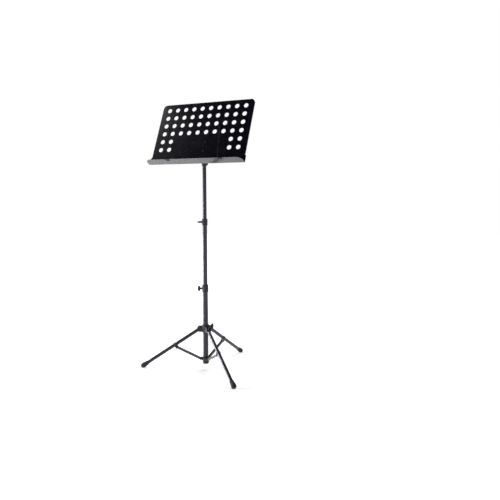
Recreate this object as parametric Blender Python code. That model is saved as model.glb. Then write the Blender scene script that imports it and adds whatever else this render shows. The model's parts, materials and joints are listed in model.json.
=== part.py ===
"""Folding music stand: a perforated desk with a ledge, on a three-section pole and a sliding-hub tripod.

The frame's origin is on the floor, in the middle of the stand's bounding box. The desk faces -Y.
"""

import math

import bmesh
import bpy
from mathutils import Matrix, Vector

# Driving dimensions, in metres.

GAP = 0.0003
RUNNING_GAP = 0.0005

# The pole: three tubes that slide in each other, named by their outer radius and shared wall.
LOWER_TUBE_RADIUS = 0.0125
TUBE_WALL = 0.0012
POLE_BOTTOM = 0.023
LOWER_CLAMP_TOP = 0.412
UPPER_CLAMP_TOP = 0.727
SOCKET_BOTTOM = 0.974
TUBE_INSERT = 0.075
PLUG_FLANGE = 0.003
PLUG_LENGTH = 0.012

# The clamps that hold one tube in the next.
LOWER_CLAMP_HEIGHT = 0.037
UPPER_CLAMP_HEIGHT = 0.031
CLAMP_WALL = 0.0022
CLAMP_LIP = 0.005
CLAMP_AZIMUTH = math.radians(209)

# Screws with a wing knob, used on the clamps, the leg hub and the head.
SCREW_RADIUS = 0.0025
BOSS_RADIUS = 0.0055
BOSS_LENGTH = 0.004
BOSS_ROOT = 0.25
WING_SPAN = 0.028
WING_DEPTH = 0.013
WING_THICKNESS = 0.006
NECK_RADIUS = 0.0045
NECK_LENGTH = 0.004

# The tripod.
TRIPOD_TURN = math.radians(-7.8)
LEG_SPREAD = 0.322
HUB_HEIGHT = 0.196
HUB_RING_BELOW = 0.017
HUB_RING_ABOVE = 0.020
HUB_WALL = 0.0041
HUB_EAR_RADIUS = 0.013
HUB_EAR_THICKNESS = 0.003
LEG_RADIUS = 0.008
LEG_BUTT = 0.0075
PIN_RADIUS = 0.002
PIN_HEAD_RISE = 0.0014
STRUT_WIDTH = 0.010
STRUT_WALL = 0.0012
STRUT_JOINT_DISTANCE = 0.1445
BRACKET_LENGTH = 0.012
BRACKET_WALL = 0.0015
BASE_CAP_WALL = 0.0027
BASE_CAP_FLOOR = 0.013
BASE_CAP_TOP = 0.058
BASE_PIVOT_HEIGHT = 0.048
BASE_EAR_RADIUS = 0.006
BASE_EAR_THICKNESS = 0.0025
BASE_PIVOT_CLEARANCE = 0.004
BASE_NOTCH_DRIFT = 0.0018
FOOT_RADIUS = 0.0128
FOOT_WALL = 0.0020
FOOT_LENGTH = 0.040
FOOT_SINK = 0.003

# The head: a socket on the top tube, with a tongue that the desk tilts on.
SOCKET_HEIGHT = 0.040
SOCKET_WALL = 0.0022
SOCKET_DEPTH = 0.034
TONGUE_WIDTH = 0.010
TONGUE_RADIUS = 0.0095
HINGE_ABOVE_SOCKET = 0.064
HINGE_BOLT_RADIUS = 0.004
HINGE_BOLT_HEAD = 0.0068
DESK_TILT = math.radians(23.7)

# The desk bracket.
BRACKET_PLATE_WIDTH = 0.084
BRACKET_PLATE_HEIGHT = 0.070
BRACKET_SHEET = 0.002
BRACKET_EAR_INSET = 0.007
DESK_STANDOFF = 0.0544
DESK_EAR_RADIUS = 0.011
RIVET_SPACING_ACROSS = 0.060
RIVET_SPACING_UP = 0.046

# The desk: a perforated panel with a folded rim, and a folded tray along its foot.
PANEL_WIDTH = 0.485
PANEL_HEIGHT = 0.3183
PANEL_SHEET = 0.0012
PANEL_CORNER = 0.020
PANEL_RIM = 0.006
BRACKET_CENTRE_UP = 0.0866
HOLE_RADIUS = 0.0108
HOLE_PITCH_ACROSS = 0.045
HOLE_PITCH_UP = 0.042
HOLE_SIDE_MARGIN = 0.038
HOLE_TOP_MARGIN = 0.0327
HOLE_BOTTOM_MARGIN = 0.072
BLANK_WIDTH = 0.270
TRAY_OVERHANG = 0.0059
TRAY_SHEET = 0.0012
TRAY_FLANGE = 0.0386
TRAY_DEPTH = 0.042
TRAY_CORNER = 0.028
TRAY_RISE = math.radians(5.6)

# The page arms: sprung wires on pivots under the tray's front edge.
ARM_PIVOTS_ACROSS = (-0.121, 0.151)
ARM_PIVOT_FROM_EDGE = 0.012
ARM_WIRE_RADIUS = 0.0016
ARM_TURN = math.radians(45)
ARM_LEAN_ACROSS = -0.045
ARM_LEAN_START = 0.004
ARM_TOP_UP = 0.184
ARM_CAP_RADIUS = 0.005

# Facets of round pieces.
FINE = 20
COARSE = 14
TINY = 8
HOLE_FACETS = 10

# Derived sizes.

MIDDLE_TUBE_RADIUS = LOWER_TUBE_RADIUS - TUBE_WALL - GAP
TOP_TUBE_RADIUS = MIDDLE_TUBE_RADIUS - TUBE_WALL - GAP
HUB_BORE = LOWER_TUBE_RADIUS + RUNNING_GAP
HUB_RADIUS = HUB_BORE + HUB_WALL
LEG_PIVOT_RADIUS = HUB_RADIUS + math.hypot(LEG_RADIUS, LEG_BUTT) + RUNNING_GAP
LEG_SLOPE = math.atan2(HUB_HEIGHT, LEG_SPREAD - LEG_PIVOT_RADIUS)
LEG_TO_FLOOR = math.hypot(HUB_HEIGHT, LEG_SPREAD - LEG_PIVOT_RADIUS)
FOOT_CENTRE = LEG_TO_FLOOR - (FOOT_RADIUS - FOOT_SINK) / math.sin(LEG_SLOPE)
BASE_CAP_RADIUS = LOWER_TUBE_RADIUS + GAP + BASE_CAP_WALL
BASE_PIVOT_RADIUS = BASE_CAP_RADIUS + STRUT_WIDTH / 2 + BASE_PIVOT_CLEARANCE
STRUT_JOINT_OFFSET = LEG_RADIUS + STRUT_WIDTH / 2 + 2 * RUNNING_GAP
EAR_SLOT = STRUT_WIDTH + 2 * GAP
HINGE_HEIGHT = SOCKET_BOTTOM + HINGE_ABOVE_SOCKET
SOCKET_RADIUS = TOP_TUBE_RADIUS + GAP + SOCKET_WALL
TRAY_WIDTH = PANEL_WIDTH + 2 * TRAY_OVERHANG
LEG_AZIMUTHS = {
    "rear": math.radians(90) + TRIPOD_TURN,
    "left": math.radians(210) + TRIPOD_TURN,
    "front": math.radians(330) + TRIPOD_TURN,
}
HUB_KNOB_AZIMUTH = math.radians(30) + TRIPOD_TURN

ALONG_X = Matrix.Rotation(math.pi / 2, 4, "Y")
ALONG_Y = Matrix.Rotation(-math.pi / 2, 4, "X")
UPRIGHT = Matrix.Identity(4)


# Objects and finishes.


def clear_scene():
    for obj in list(bpy.data.objects):
        bpy.data.objects.remove(obj, do_unlink=True)


def finish(name, colour, roughness, metallic):
    """A Principled material, made once and shared."""
    material = bpy.data.materials.get(name)
    if material is None:
        material = bpy.data.materials.new(name)
        material.use_nodes = True
        shader = material.node_tree.nodes["Principled BSDF"]
        shader.inputs["Base Color"].default_value = (*colour, 1)
        shader.inputs["Roughness"].default_value = roughness
        shader.inputs["Metallic"].default_value = metallic
    return material


def powder_coat():
    return finish("black_powder_coat", (0.012, 0.012, 0.018), 0.38, 0.0)


def satin_steel():
    return finish("black_painted_steel_tube", (0.030, 0.029, 0.036), 0.32, 0.4)


def black_plastic():
    return finish("black_moulded_plastic", (0.014, 0.014, 0.017), 0.45, 0.0)


def black_rubber():
    return finish("black_rubber", (0.016, 0.016, 0.017), 0.70, 0.0)


def zinc_steel():
    return finish("zinc_plated_steel", (0.42, 0.42, 0.44), 0.35, 1.0)


def blackened_steel():
    return finish("blackened_steel", (0.022, 0.022, 0.026), 0.40, 0.7)


def frame(name, parent=None, location=(0, 0, 0), rotation=(0, 0, 0)):
    """An empty that places what hangs under it."""
    empty = bpy.data.objects.new(name, None)
    bpy.context.scene.collection.objects.link(empty)
    empty.parent = parent
    empty.location = location
    empty.rotation_euler = rotation
    return empty


def piece(name, shape, material, parent, location=(0, 0, 0)):
    """A named object made from a bmesh, which is freed."""
    bmesh.ops.recalc_face_normals(shape, faces=shape.faces)
    mesh = bpy.data.meshes.new(name)
    shape.to_mesh(mesh)
    shape.free()
    mesh.materials.append(material)
    mesh.shade_smooth()
    mesh.set_sharp_from_angle(angle=math.radians(35))
    obj = bpy.data.objects.new(name, mesh)
    bpy.context.scene.collection.objects.link(obj)
    obj.parent = parent
    obj.location = location
    return obj


def shape_with(obj, operation, tool_name, shape, location=(0, 0, 0)):
    """Adds or takes away a helper shape, which stays hidden under the same parent."""
    tool = piece(tool_name, shape, obj.data.materials[0], obj.parent, location)
    tool.hide_render = True
    tool.display_type = "WIRE"
    modifier = obj.modifiers.new(tool_name, "BOOLEAN")
    modifier.operation = operation
    modifier.solver = "EXACT"
    modifier.object = tool


def add(obj, tool_name, shape, location=(0, 0, 0)):
    shape_with(obj, "UNION", tool_name, shape, location)


def cut(obj, tool_name, shape, location=(0, 0, 0)):
    shape_with(obj, "DIFFERENCE", tool_name, shape, location)


# Shapes.


def arc(centre, radius, start, end, steps):
    """Points of an arc in a plane, with angles in degrees."""
    points = []
    for step in range(steps + 1):
        angle = math.radians(start + (end - start) * step / steps)
        points.append((centre[0] + radius * math.cos(angle), centre[1] + radius * math.sin(angle)))
    return points


def turned(profile, facets, way=UPRIGHT):
    """A solid turned from (radius, height) points; a profile that stays off the axis closes into a ring."""
    shape = bmesh.new()
    rings = []
    for radius, height in profile:
        if radius == 0:
            rings.append([shape.verts.new((0, 0, height))])
            continue
        angles = [2 * math.pi * index / facets for index in range(facets)]
        rings.append([shape.verts.new((radius * math.cos(a), radius * math.sin(a), height)) for a in angles])
    is_ring = profile[0][0] > 0
    following = rings[1:] + ([rings[0]] if is_ring else [])
    for first, second in zip(rings, following):
        for index in range(facets):
            after = (index + 1) % facets
            corners = [
                first[index % len(first)],
                first[after % len(first)],
                second[after % len(second)],
                second[index % len(second)],
            ]
            shape.faces.new(list(dict.fromkeys(corners)))
    bmesh.ops.recalc_face_normals(shape, faces=shape.faces)
    bmesh.ops.transform(shape, matrix=way, verts=shape.verts)
    return shape


def rod(radius, start, end, facets, way=UPRIGHT):
    return turned([(0, start), (radius, start), (radius, end), (0, end)], facets, way)


def pipe(inner, outer, start, end, facets, way=UPRIGHT):
    return turned([(inner, start), (outer, start), (outer, end), (inner, end)], facets, way)


def prism(outline, low, high, place):
    """A straight solid from an outline of two coordinates; place turns (a, b, depth) into a point."""
    shape = bmesh.new()
    near = [shape.verts.new(place(a, b, low)) for a, b in outline]
    far = [shape.verts.new(place(a, b, high)) for a, b in outline]
    shape.faces.new(near)
    shape.faces.new(far)
    for index in range(len(outline)):
        after = (index + 1) % len(outline)
        shape.faces.new((near[index], near[after], far[after], far[index]))
    bmesh.ops.recalc_face_normals(shape, faces=shape.faces)
    return shape


def across_y(a, b, depth):
    """An outline in X and Z, with its depth along Y."""
    return (a, depth, b)


def across_x(a, b, depth):
    """An outline in Y and Z, with its depth along X."""
    return (depth, a, b)


def block(low, high):
    outline = [(low[0], low[1]), (high[0], low[1]), (high[0], high[1]), (low[0], high[1])]
    return prism(outline, low[2], high[2], lambda a, b, depth: (a, b, depth))


def rivet(name, grip, parent, location):
    """A rivet along Y, whose two domed heads stand a gap off the grip between them."""
    reach = grip / 2 + GAP
    head = 2 * PIN_RADIUS
    dome = [(head * math.sin(angle), -reach - PIN_HEAD_RISE * math.cos(angle)) for angle in (0, 0.7)]
    profile = dome + [(head, -reach), (PIN_RADIUS, -reach)]
    profile += [(r, -z) for r, z in reversed(profile)]
    return piece(name, turned(profile, TINY, ALONG_Y), blackened_steel(), parent, location)


def wing_outline(length):
    """Half-round wing of a knob in its own plane: along the screw, and across it."""
    half = WING_SPAN / 2
    points = []
    for index in range(COARSE):
        angle = 2 * math.pi * index / COARSE
        points.append((length / 2 + length / 2 * math.cos(angle), half * math.sin(angle)))
    return points


def wing_knob(name, parent, start, screw_end, screw_radius, facets):
    """A flat wing on a short neck, moulded round the end of its screw, along +X."""
    neck_end = start + NECK_LENGTH
    wings = prism(wing_outline(WING_DEPTH), -WING_THICKNESS / 2, WING_THICKNESS / 2, across_y)
    bmesh.ops.bevel(
        wings,
        geom=wings.edges[:],
        offset=WING_THICKNESS / 4,
        segments=1,
        affect="EDGES",
        clamp_overlap=True,
    )
    bmesh.ops.translate(wings, vec=(neck_end - GAP, 0, 0), verts=wings.verts)
    knob = piece(name, wings, black_plastic(), parent)
    neck_radius = max(NECK_RADIUS, screw_radius + 2 * RUNNING_GAP + TUBE_WALL)
    add(knob, f"{name}_neck", rod(neck_radius, start, neck_end + WING_DEPTH / 2, COARSE, ALONG_X))
    bore = rod(screw_radius + GAP, start - 2 * GAP, screw_end + GAP, facets, ALONG_X)
    cut(knob, f"{name}_bore", bore)
    return knob


def clamp_screw(name, parent, tip, end):
    return piece(name, rod(SCREW_RADIUS, tip, end, TINY, ALONG_X), zinc_steel(), parent)


def screw_set(prefix, parent, height, azimuth, roll, tip, boss_end):
    """A clamp screw and its wing knob, on an axis of their own that points outward."""
    axis = frame(f"{prefix}_axis", parent, (0, 0, height), (0, 0, azimuth))
    turn = frame(f"{prefix}_turn", axis, (0, 0, 0), (roll, 0, 0))
    knob_start = boss_end + RUNNING_GAP
    screw_end = knob_start + NECK_LENGTH + WING_DEPTH / 2
    clamp_screw(f"{prefix}_screw", turn, tip, screw_end)
    wing_knob(f"{prefix}_knob", turn, knob_start, screw_end, SCREW_RADIUS, TINY)


def boss_tools(obj, prefix, height, azimuth, inner, outer):
    """Adds a boss for a clamp screw to a ring-shaped piece, and bores it."""
    turn = Matrix.Rotation(azimuth, 4, "Z") @ ALONG_X
    start = inner + BOSS_ROOT * (outer - inner)
    add(obj, f"{prefix}_boss", rod(BOSS_RADIUS, start, outer + BOSS_LENGTH, COARSE, turn), (0, 0, height))
    bore = rod(SCREW_RADIUS + GAP, inner - 2 * RUNNING_GAP, outer + BOSS_LENGTH + GAP, TINY, turn)
    cut(obj, f"{prefix}_boss_bore", bore, (0, 0, height))


# The pole.


def screw_hole(obj, prefix, height, azimuth, inner, outer):
    """A clearance hole for a clamp screw through one side of a tube."""
    turn = Matrix.Rotation(azimuth, 4, "Z") @ ALONG_X
    hole = rod(SCREW_RADIUS + RUNNING_GAP, inner / 2, outer + TUBE_WALL, TINY, turn)
    cut(obj, f"{prefix}_screw_hole", hole, (0, 0, height))


def clamp(prefix, parent, top, height, tube_radius, sliding_radius, roll):
    """The collar on the top end of a tube, with the screw that bears on the tube inside it."""
    bottom = top - height
    outer = tube_radius + GAP + CLAMP_WALL
    bore = tube_radius + GAP
    mouth = sliding_radius + GAP
    edge = CLAMP_WALL / 2
    lip = top - CLAMP_LIP
    profile = [
        (bore, bottom),
        (outer - edge, bottom),
        (outer, bottom + edge),
        (outer, top - edge),
        (outer - edge, top),
        (mouth, top),
        (mouth, lip),
        (bore, lip),
    ]
    collar = piece(f"{prefix}_clamp", turned(profile, FINE), black_plastic(), parent)
    screw_height = bottom + height / 2
    boss_tools(collar, prefix, screw_height, CLAMP_AZIMUTH, bore, outer)
    screw_set(
        f"{prefix}_clamp",
        parent,
        screw_height,
        CLAMP_AZIMUTH,
        roll,
        sliding_radius + GAP,
        outer + BOSS_LENGTH,
    )
    return screw_height


def clamp_tube(name, parent, bottom, top, radius, screw_height):
    """A tube whose top end sits in a clamp, with the clearance hole for that clamp's screw."""
    inner = radius - TUBE_WALL
    tube = piece(name, pipe(inner, radius, bottom, top, FINE), satin_steel(), parent)
    screw_hole(tube, name, screw_height, CLAMP_AZIMUTH, inner, radius)
    return tube


def tube_plug(name, parent, bottom, radius):
    """A plastic plug in the lower end of a sliding tube."""
    shank = radius - TUBE_WALL - GAP
    seat = bottom - GAP
    profile = [
        (0, seat - PLUG_FLANGE),
        (radius - RUNNING_GAP, seat - PLUG_FLANGE),
        (radius, seat - PLUG_FLANGE + RUNNING_GAP),
        (radius, seat),
        (shank, seat),
        (shank, bottom + PLUG_LENGTH),
        (0, bottom + PLUG_LENGTH),
    ]
    piece(name, turned(profile, FINE), black_plastic(), parent)


def build_pole(pole):
    lower_end = LOWER_CLAMP_TOP - CLAMP_LIP - GAP
    middle_end = UPPER_CLAMP_TOP - CLAMP_LIP - GAP
    top_end = SOCKET_BOTTOM + SOCKET_DEPTH - GAP
    lower_screw = clamp(
        "lower", pole, LOWER_CLAMP_TOP, LOWER_CLAMP_HEIGHT, LOWER_TUBE_RADIUS, MIDDLE_TUBE_RADIUS, 0
    )
    clamp_tube("lower_tube", pole, POLE_BOTTOM + BASE_CAP_FLOOR + GAP, lower_end, LOWER_TUBE_RADIUS, lower_screw)
    middle = frame("middle_slide", pole)
    upper_screw = clamp(
        "upper",
        middle,
        UPPER_CLAMP_TOP,
        UPPER_CLAMP_HEIGHT,
        MIDDLE_TUBE_RADIUS,
        TOP_TUBE_RADIUS,
        math.radians(90),
    )
    middle_bottom = LOWER_CLAMP_TOP - TUBE_INSERT
    clamp_tube("middle_tube", middle, middle_bottom, middle_end, MIDDLE_TUBE_RADIUS, upper_screw)
    tube_plug("middle_tube_plug", middle, middle_bottom, MIDDLE_TUBE_RADIUS)
    top = frame("top_slide", middle)
    top_bottom = UPPER_CLAMP_TOP - TUBE_INSERT
    top_tube = pipe(TOP_TUBE_RADIUS - TUBE_WALL, TOP_TUBE_RADIUS, top_bottom, top_end, FINE)
    piece("top_tube", top_tube, satin_steel(), top)
    tube_plug("top_tube_plug", top, top_bottom, TOP_TUBE_RADIUS)
    return top


# The tripod.


def ear_outline(start, pivot, radius, steps):
    """A lug from a ring out to a full round about its pivot, along X and up Z, with the pivot at height 0."""
    return [(start, -radius)] + arc((pivot, 0), radius, -90, 90, steps) + [(start, radius)]


def add_ears(obj, prefix, azimuth, height, ring, pivot, radius, slot, thickness):
    """Two lugs on a ring of an inner and outer radius, with a pin hole through both."""
    turn = Matrix.Rotation(azimuth, 4, "Z")
    past_bore = math.sqrt(max(0, ring[0] ** 2 - (slot / 2) ** 2))
    within_ring = math.sqrt(max(0, ring[1] ** 2 - (slot / 2 + thickness) ** 2))
    start = (past_bore + within_ring) / 2
    for side, sign in (("left", 1), ("right", -1)):
        near = sign * slot / 2
        far = sign * (slot / 2 + thickness)
        ear = prism(ear_outline(start, pivot, radius, 8), near, far, across_y)
        bmesh.ops.transform(ear, matrix=turn, verts=ear.verts)
        add(obj, f"{prefix}_{side}_ear", ear, (0, 0, height))
    reach = slot / 2 + thickness + GAP
    hole = rod(PIN_RADIUS + GAP, -reach, reach, TINY, ALONG_Y)
    bmesh.ops.translate(hole, vec=(pivot, 0, 0), verts=hole.verts)
    bmesh.ops.transform(hole, matrix=turn, verts=hole.verts)
    cut(obj, f"{prefix}_pin_hole", hole, (0, 0, height))


def build_base_cap(pole):
    """The cap on the pole's lower end, whose ears hold the strut pins in notches that open downward."""
    floor = POLE_BOTTOM + BASE_CAP_FLOOR
    rounding = BASE_CAP_RADIUS / 2
    bottom = arc((BASE_CAP_RADIUS - rounding, POLE_BOTTOM + rounding), rounding, -90, 0, 4)
    profile = [(0, POLE_BOTTOM)] + bottom
    profile += [
        (BASE_CAP_RADIUS, BASE_CAP_TOP),
        (LOWER_TUBE_RADIUS + GAP, BASE_CAP_TOP),
        (LOWER_TUBE_RADIUS + GAP, floor),
        (0, floor),
    ]
    cap = piece("base_cap", turned(profile, FINE), black_plastic(), pole)
    for name, azimuth in LEG_AZIMUTHS.items():
        add_ears(
            cap,
            f"base_{name}",
            azimuth,
            BASE_PIVOT_HEIGHT,
            (LOWER_TUBE_RADIUS + GAP, BASE_CAP_RADIUS),
            BASE_PIVOT_RADIUS,
            BASE_EAR_RADIUS,
            EAR_SLOT,
            BASE_EAR_THICKNESS,
        )
        reach = EAR_SLOT / 2 + BASE_EAR_THICKNESS + GAP
        inner = BASE_PIVOT_RADIUS - PIN_RADIUS - GAP - BASE_NOTCH_DRIFT
        outer = BASE_PIVOT_RADIUS + PIN_RADIUS + GAP
        notch = block((inner, -reach, -BASE_EAR_RADIUS - GAP), (outer, reach, 0))
        bmesh.ops.transform(notch, matrix=Matrix.Rotation(azimuth, 4, "Z"), verts=notch.verts)
        cut(cap, f"base_{name}_notch", notch, (0, 0, BASE_PIVOT_HEIGHT))


def build_hub(pole):
    """The hub that slides on the lower tube and carries the legs."""
    hub = frame("hub_slide", pole)
    bottom = HUB_HEIGHT - HUB_RING_BELOW
    top = HUB_HEIGHT + HUB_RING_ABOVE
    edge = HUB_WALL / 4
    profile = [
        (HUB_BORE, bottom),
        (HUB_RADIUS - edge, bottom),
        (HUB_RADIUS, bottom + edge),
        (HUB_RADIUS, top - edge),
        (HUB_RADIUS - edge, top),
        (HUB_BORE, top),
    ]
    ring = piece("leg_hub", turned(profile, FINE), black_plastic(), hub)
    slot = 2 * (LEG_RADIUS + GAP)
    for name, azimuth in LEG_AZIMUTHS.items():
        add_ears(
            ring,
            f"hub_{name}",
            azimuth,
            HUB_HEIGHT,
            (HUB_BORE, HUB_RADIUS),
            LEG_PIVOT_RADIUS,
            HUB_EAR_RADIUS,
            slot,
            HUB_EAR_THICKNESS,
        )
    screw_height = top - BOSS_RADIUS - RUNNING_GAP - edge
    boss_tools(ring, "hub", screw_height, HUB_KNOB_AZIMUTH, HUB_BORE, HUB_RADIUS)
    tip = LOWER_TUBE_RADIUS + GAP
    screw_set("hub", hub, screw_height, HUB_KNOB_AZIMUTH, 0, tip, HUB_RADIUS + BOSS_LENGTH)
    return hub


def foot_shape():
    """A rubber boot over the leg's end, with its sole cut flat on the floor."""
    bore = LEG_RADIUS + GAP
    mouth = FOOT_CENTRE + FOOT_RADIUS - FOOT_LENGTH
    seat = FOOT_CENTRE + GAP
    collar = bore + FOOT_WALL
    profile = [(0, seat), (bore, seat), (bore, mouth), (collar, mouth)]
    profile += [(collar, mouth + FOOT_LENGTH / 4), (FOOT_RADIUS, FOOT_CENTRE - FOOT_LENGTH / 8)]
    profile += [(r, z) for r, z in arc((0, FOOT_CENTRE), FOOT_RADIUS, 0, 75, 5)]
    profile += [(0, FOOT_CENTRE + FOOT_RADIUS)]
    shape = turned(profile, FINE, ALONG_X)
    down = Vector((math.sin(LEG_SLOPE), 0, -math.cos(LEG_SLOPE)))
    parts = shape.verts[:] + shape.edges[:] + shape.faces[:]
    bmesh.ops.bisect_plane(shape, geom=parts, plane_co=(LEG_TO_FLOOR, 0, 0), plane_no=down, clear_outer=True)
    open_edges = [edge for edge in shape.edges if edge.is_boundary]
    bmesh.ops.holes_fill(shape, edges=open_edges, sides=0)
    return shape


def bracket_outline():
    """The section of the strut bracket: a saddle over the leg and two ears below it, in Y and Z."""
    slot = EAR_SLOT / 2
    outside = slot + BRACKET_WALL
    inner = LEG_RADIUS + GAP
    outer = inner + BRACKET_WALL
    low = -(STRUT_JOINT_OFFSET + STRUT_WIDTH / 2)
    inner_angle = math.degrees(math.asin(slot / inner))
    outer_angle = math.degrees(math.asin(min(0.95, outside / outer)))
    over = arc((0, 0), outer, -90 + outer_angle, 270 - outer_angle, 14)
    under = arc((0, 0), inner, 270 - inner_angle, -90 + inner_angle, 14)
    return [(outside, low)] + over + [(-outside, low), (-slot, low)] + under + [(slot, low)]


def build_strut(name, side):
    """The channel strut from the leg's bracket down to the base cap, open on its upper side, and its pin."""
    joint = (
        LEG_PIVOT_RADIUS
        + STRUT_JOINT_DISTANCE * math.cos(LEG_SLOPE)
        - STRUT_JOINT_OFFSET * math.sin(LEG_SLOPE),
        HUB_HEIGHT
        - STRUT_JOINT_DISTANCE * math.sin(LEG_SLOPE)
        - STRUT_JOINT_OFFSET * math.cos(LEG_SLOPE),
    )
    across = BASE_PIVOT_RADIUS - joint[0]
    drop = BASE_PIVOT_HEIGHT - joint[1]
    length = math.hypot(across, drop)
    half = STRUT_WIDTH / 2
    outline = arc((0, 0), half, 90, 270, 6) + arc((length, 0), half, -90, 90, 6)
    swing = frame(f"{name}_strut_hinge", side, (joint[0], 0, joint[1]), (0, -math.atan2(drop, across), 0))
    strut = piece(f"{name}_strut", prism(outline, -half, half, across_y), powder_coat(), swing)
    inside = half - STRUT_WALL
    slot = block((-STRUT_WIDTH, -inside, -STRUT_WIDTH), (length + STRUT_WIDTH, inside, inside))
    cut(strut, f"{name}_strut_slot", slot)
    for end, place in (("top", 0), ("bottom", length)):
        hole = rod(PIN_RADIUS + GAP, -STRUT_WIDTH, STRUT_WIDTH, TINY, ALONG_Y)
        cut(strut, f"{name}_strut_{end}_hole", hole, (place, 0, 0))
    rivet(f"{name}_strut_bottom_pin", EAR_SLOT + 2 * BASE_EAR_THICKNESS, swing, (length, 0, 0))


def build_leg(name, azimuth, hub):
    side = frame(f"{name}_side", hub, (0, 0, 0), (0, 0, azimuth))
    hinge = frame(f"{name}_leg_hinge", side, (LEG_PIVOT_RADIUS, 0, HUB_HEIGHT), (0, LEG_SLOPE, 0))
    tube = pipe(LEG_RADIUS - TUBE_WALL, LEG_RADIUS, -LEG_BUTT, FOOT_CENTRE, COARSE, ALONG_X)
    leg = piece(f"{name}_leg", tube, satin_steel(), hinge)
    pin_reach = LEG_RADIUS + GAP + HUB_EAR_THICKNESS
    cut(leg, f"{name}_leg_pin_hole", rod(PIN_RADIUS + GAP, -pin_reach, pin_reach, TINY, ALONG_Y))
    piece(f"{name}_foot", foot_shape(), black_rubber(), hinge)
    rivet(f"{name}_leg_pin", 2 * pin_reach, side, (LEG_PIVOT_RADIUS, 0, HUB_HEIGHT))
    start = STRUT_JOINT_DISTANCE - BRACKET_LENGTH / 2
    section = prism(bracket_outline(), start, start + BRACKET_LENGTH, across_x)
    bracket = piece(f"{name}_strut_bracket", section, blackened_steel(), hinge)
    joint = (STRUT_JOINT_DISTANCE, 0, -STRUT_JOINT_OFFSET)
    hole = rod(PIN_RADIUS + GAP, -STRUT_WIDTH, STRUT_WIDTH, TINY, ALONG_Y)
    cut(bracket, f"{name}_bracket_hole", hole, joint)
    rivet(f"{name}_strut_top_pin", EAR_SLOT + 2 * BRACKET_WALL, hinge, joint)
    build_strut(name, side)


# The head and the desk.


def build_head(top):
    """The socket that turns on the top tube, clamped by a knob behind, with a tongue for the tilt bolt."""
    head = frame("head_swivel", top)
    bore = TOP_TUBE_RADIUS + GAP
    end = SOCKET_BOTTOM + SOCKET_HEIGHT
    edge = SOCKET_WALL / 3
    seat = SOCKET_BOTTOM + SOCKET_DEPTH
    profile = [
        (0, seat),
        (bore, seat),
        (bore, SOCKET_BOTTOM),
        (SOCKET_RADIUS - edge, SOCKET_BOTTOM),
        (SOCKET_RADIUS, SOCKET_BOTTOM + edge),
        (SOCKET_RADIUS, end - edge),
        (SOCKET_RADIUS - edge, end),
        (0, end),
    ]
    socket = piece("head_socket", turned(profile, FINE), black_plastic(), head)
    root = (seat + end) / 2 - HINGE_HEIGHT
    outline = [(TONGUE_RADIUS, root)] + arc((0, 0), TONGUE_RADIUS, 0, 180, 10)
    outline += [(-TONGUE_RADIUS, root)]
    tongue = prism(outline, -TONGUE_WIDTH / 2, TONGUE_WIDTH / 2, across_x)
    add(socket, "head_tongue", tongue, (0, 0, HINGE_HEIGHT))
    hole = rod(HINGE_BOLT_RADIUS + GAP, -TONGUE_WIDTH, TONGUE_WIDTH, COARSE, ALONG_X)
    cut(socket, "head_bolt_hole", hole, (0, 0, HINGE_HEIGHT))
    screw_height = SOCKET_BOTTOM + SOCKET_DEPTH / 2
    behind = math.radians(90)
    boss_tools(socket, "head", screw_height, behind, bore, SOCKET_RADIUS)
    tip = TOP_TUBE_RADIUS + GAP
    screw_set("head", head, screw_height, behind, 0, tip, SOCKET_RADIUS + BOSS_LENGTH)
    return head


def build_tilt_bolt(tilt):
    """The bolt through the tongue and the bracket's ears, its washer and its wing knob."""
    ears = TONGUE_WIDTH / 2 + GAP + BRACKET_SHEET
    head_start = -(ears + GAP)
    head_radius = max(HINGE_BOLT_HEAD, HINGE_BOLT_RADIUS + BRACKET_SHEET)
    washer_start = ears + GAP
    washer_end = washer_start + PANEL_SHEET
    knob_start = washer_end + RUNNING_GAP
    bolt_end = knob_start + NECK_LENGTH + WING_DEPTH / 2
    profile = [
        (0, head_start - HINGE_BOLT_RADIUS),
        (head_radius - 2 * RUNNING_GAP, head_start - HINGE_BOLT_RADIUS),
        (head_radius, head_start - HINGE_BOLT_RADIUS + 2 * RUNNING_GAP),
        (head_radius, head_start),
        (HINGE_BOLT_RADIUS, head_start),
        (HINGE_BOLT_RADIUS, bolt_end),
        (0, bolt_end),
    ]
    piece("tilt_bolt", turned(profile, COARSE, ALONG_X), zinc_steel(), tilt)
    washer = pipe(HINGE_BOLT_RADIUS + GAP, 2 * HINGE_BOLT_RADIUS, washer_start, washer_end, COARSE, ALONG_X)
    piece("tilt_washer", washer, zinc_steel(), tilt)
    wing_knob("tilt_knob", tilt, knob_start, bolt_end, HINGE_BOLT_RADIUS, COARSE)


def build_bracket(tilt):
    """The folded bracket on the panel's back, with two ears that reach the tilt bolt."""
    face = -DESK_STANDOFF + PANEL_SHEET + GAP
    wide = BRACKET_PLATE_WIDTH / 2
    tall = BRACKET_PLATE_HEIGHT / 2
    plate = block((-wide, face, -tall), (wide, face + BRACKET_SHEET, tall))
    bracket = piece("desk_bracket", plate, powder_coat(), tilt)
    rounding = arc((0, 0), DESK_EAR_RADIUS, -60, 60, 8)
    root = face + BRACKET_SHEET / 2
    ear = [(root, -tall + BRACKET_EAR_INSET)] + rounding + [(root, tall - BRACKET_EAR_INSET)]
    for side, sign in (("right", 1), ("left", -1)):
        near = sign * (TONGUE_WIDTH / 2 + GAP)
        far = near + sign * BRACKET_SHEET
        add(bracket, f"bracket_{side}_ear", prism(ear, near, far, across_x))
    hole = rod(HINGE_BOLT_RADIUS + GAP, -TONGUE_WIDTH, TONGUE_WIDTH, COARSE, ALONG_X)
    cut(bracket, "bracket_bolt_hole", hole)
    for index, (across, up) in enumerate(rivet_places()):
        hole = rod(PIN_RADIUS + GAP, -DESK_STANDOFF, face + 2 * BRACKET_SHEET, TINY, ALONG_Y)
        cut(bracket, f"bracket_rivet_hole_{index + 1}", hole, (across, 0, up))
    return bracket


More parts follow.
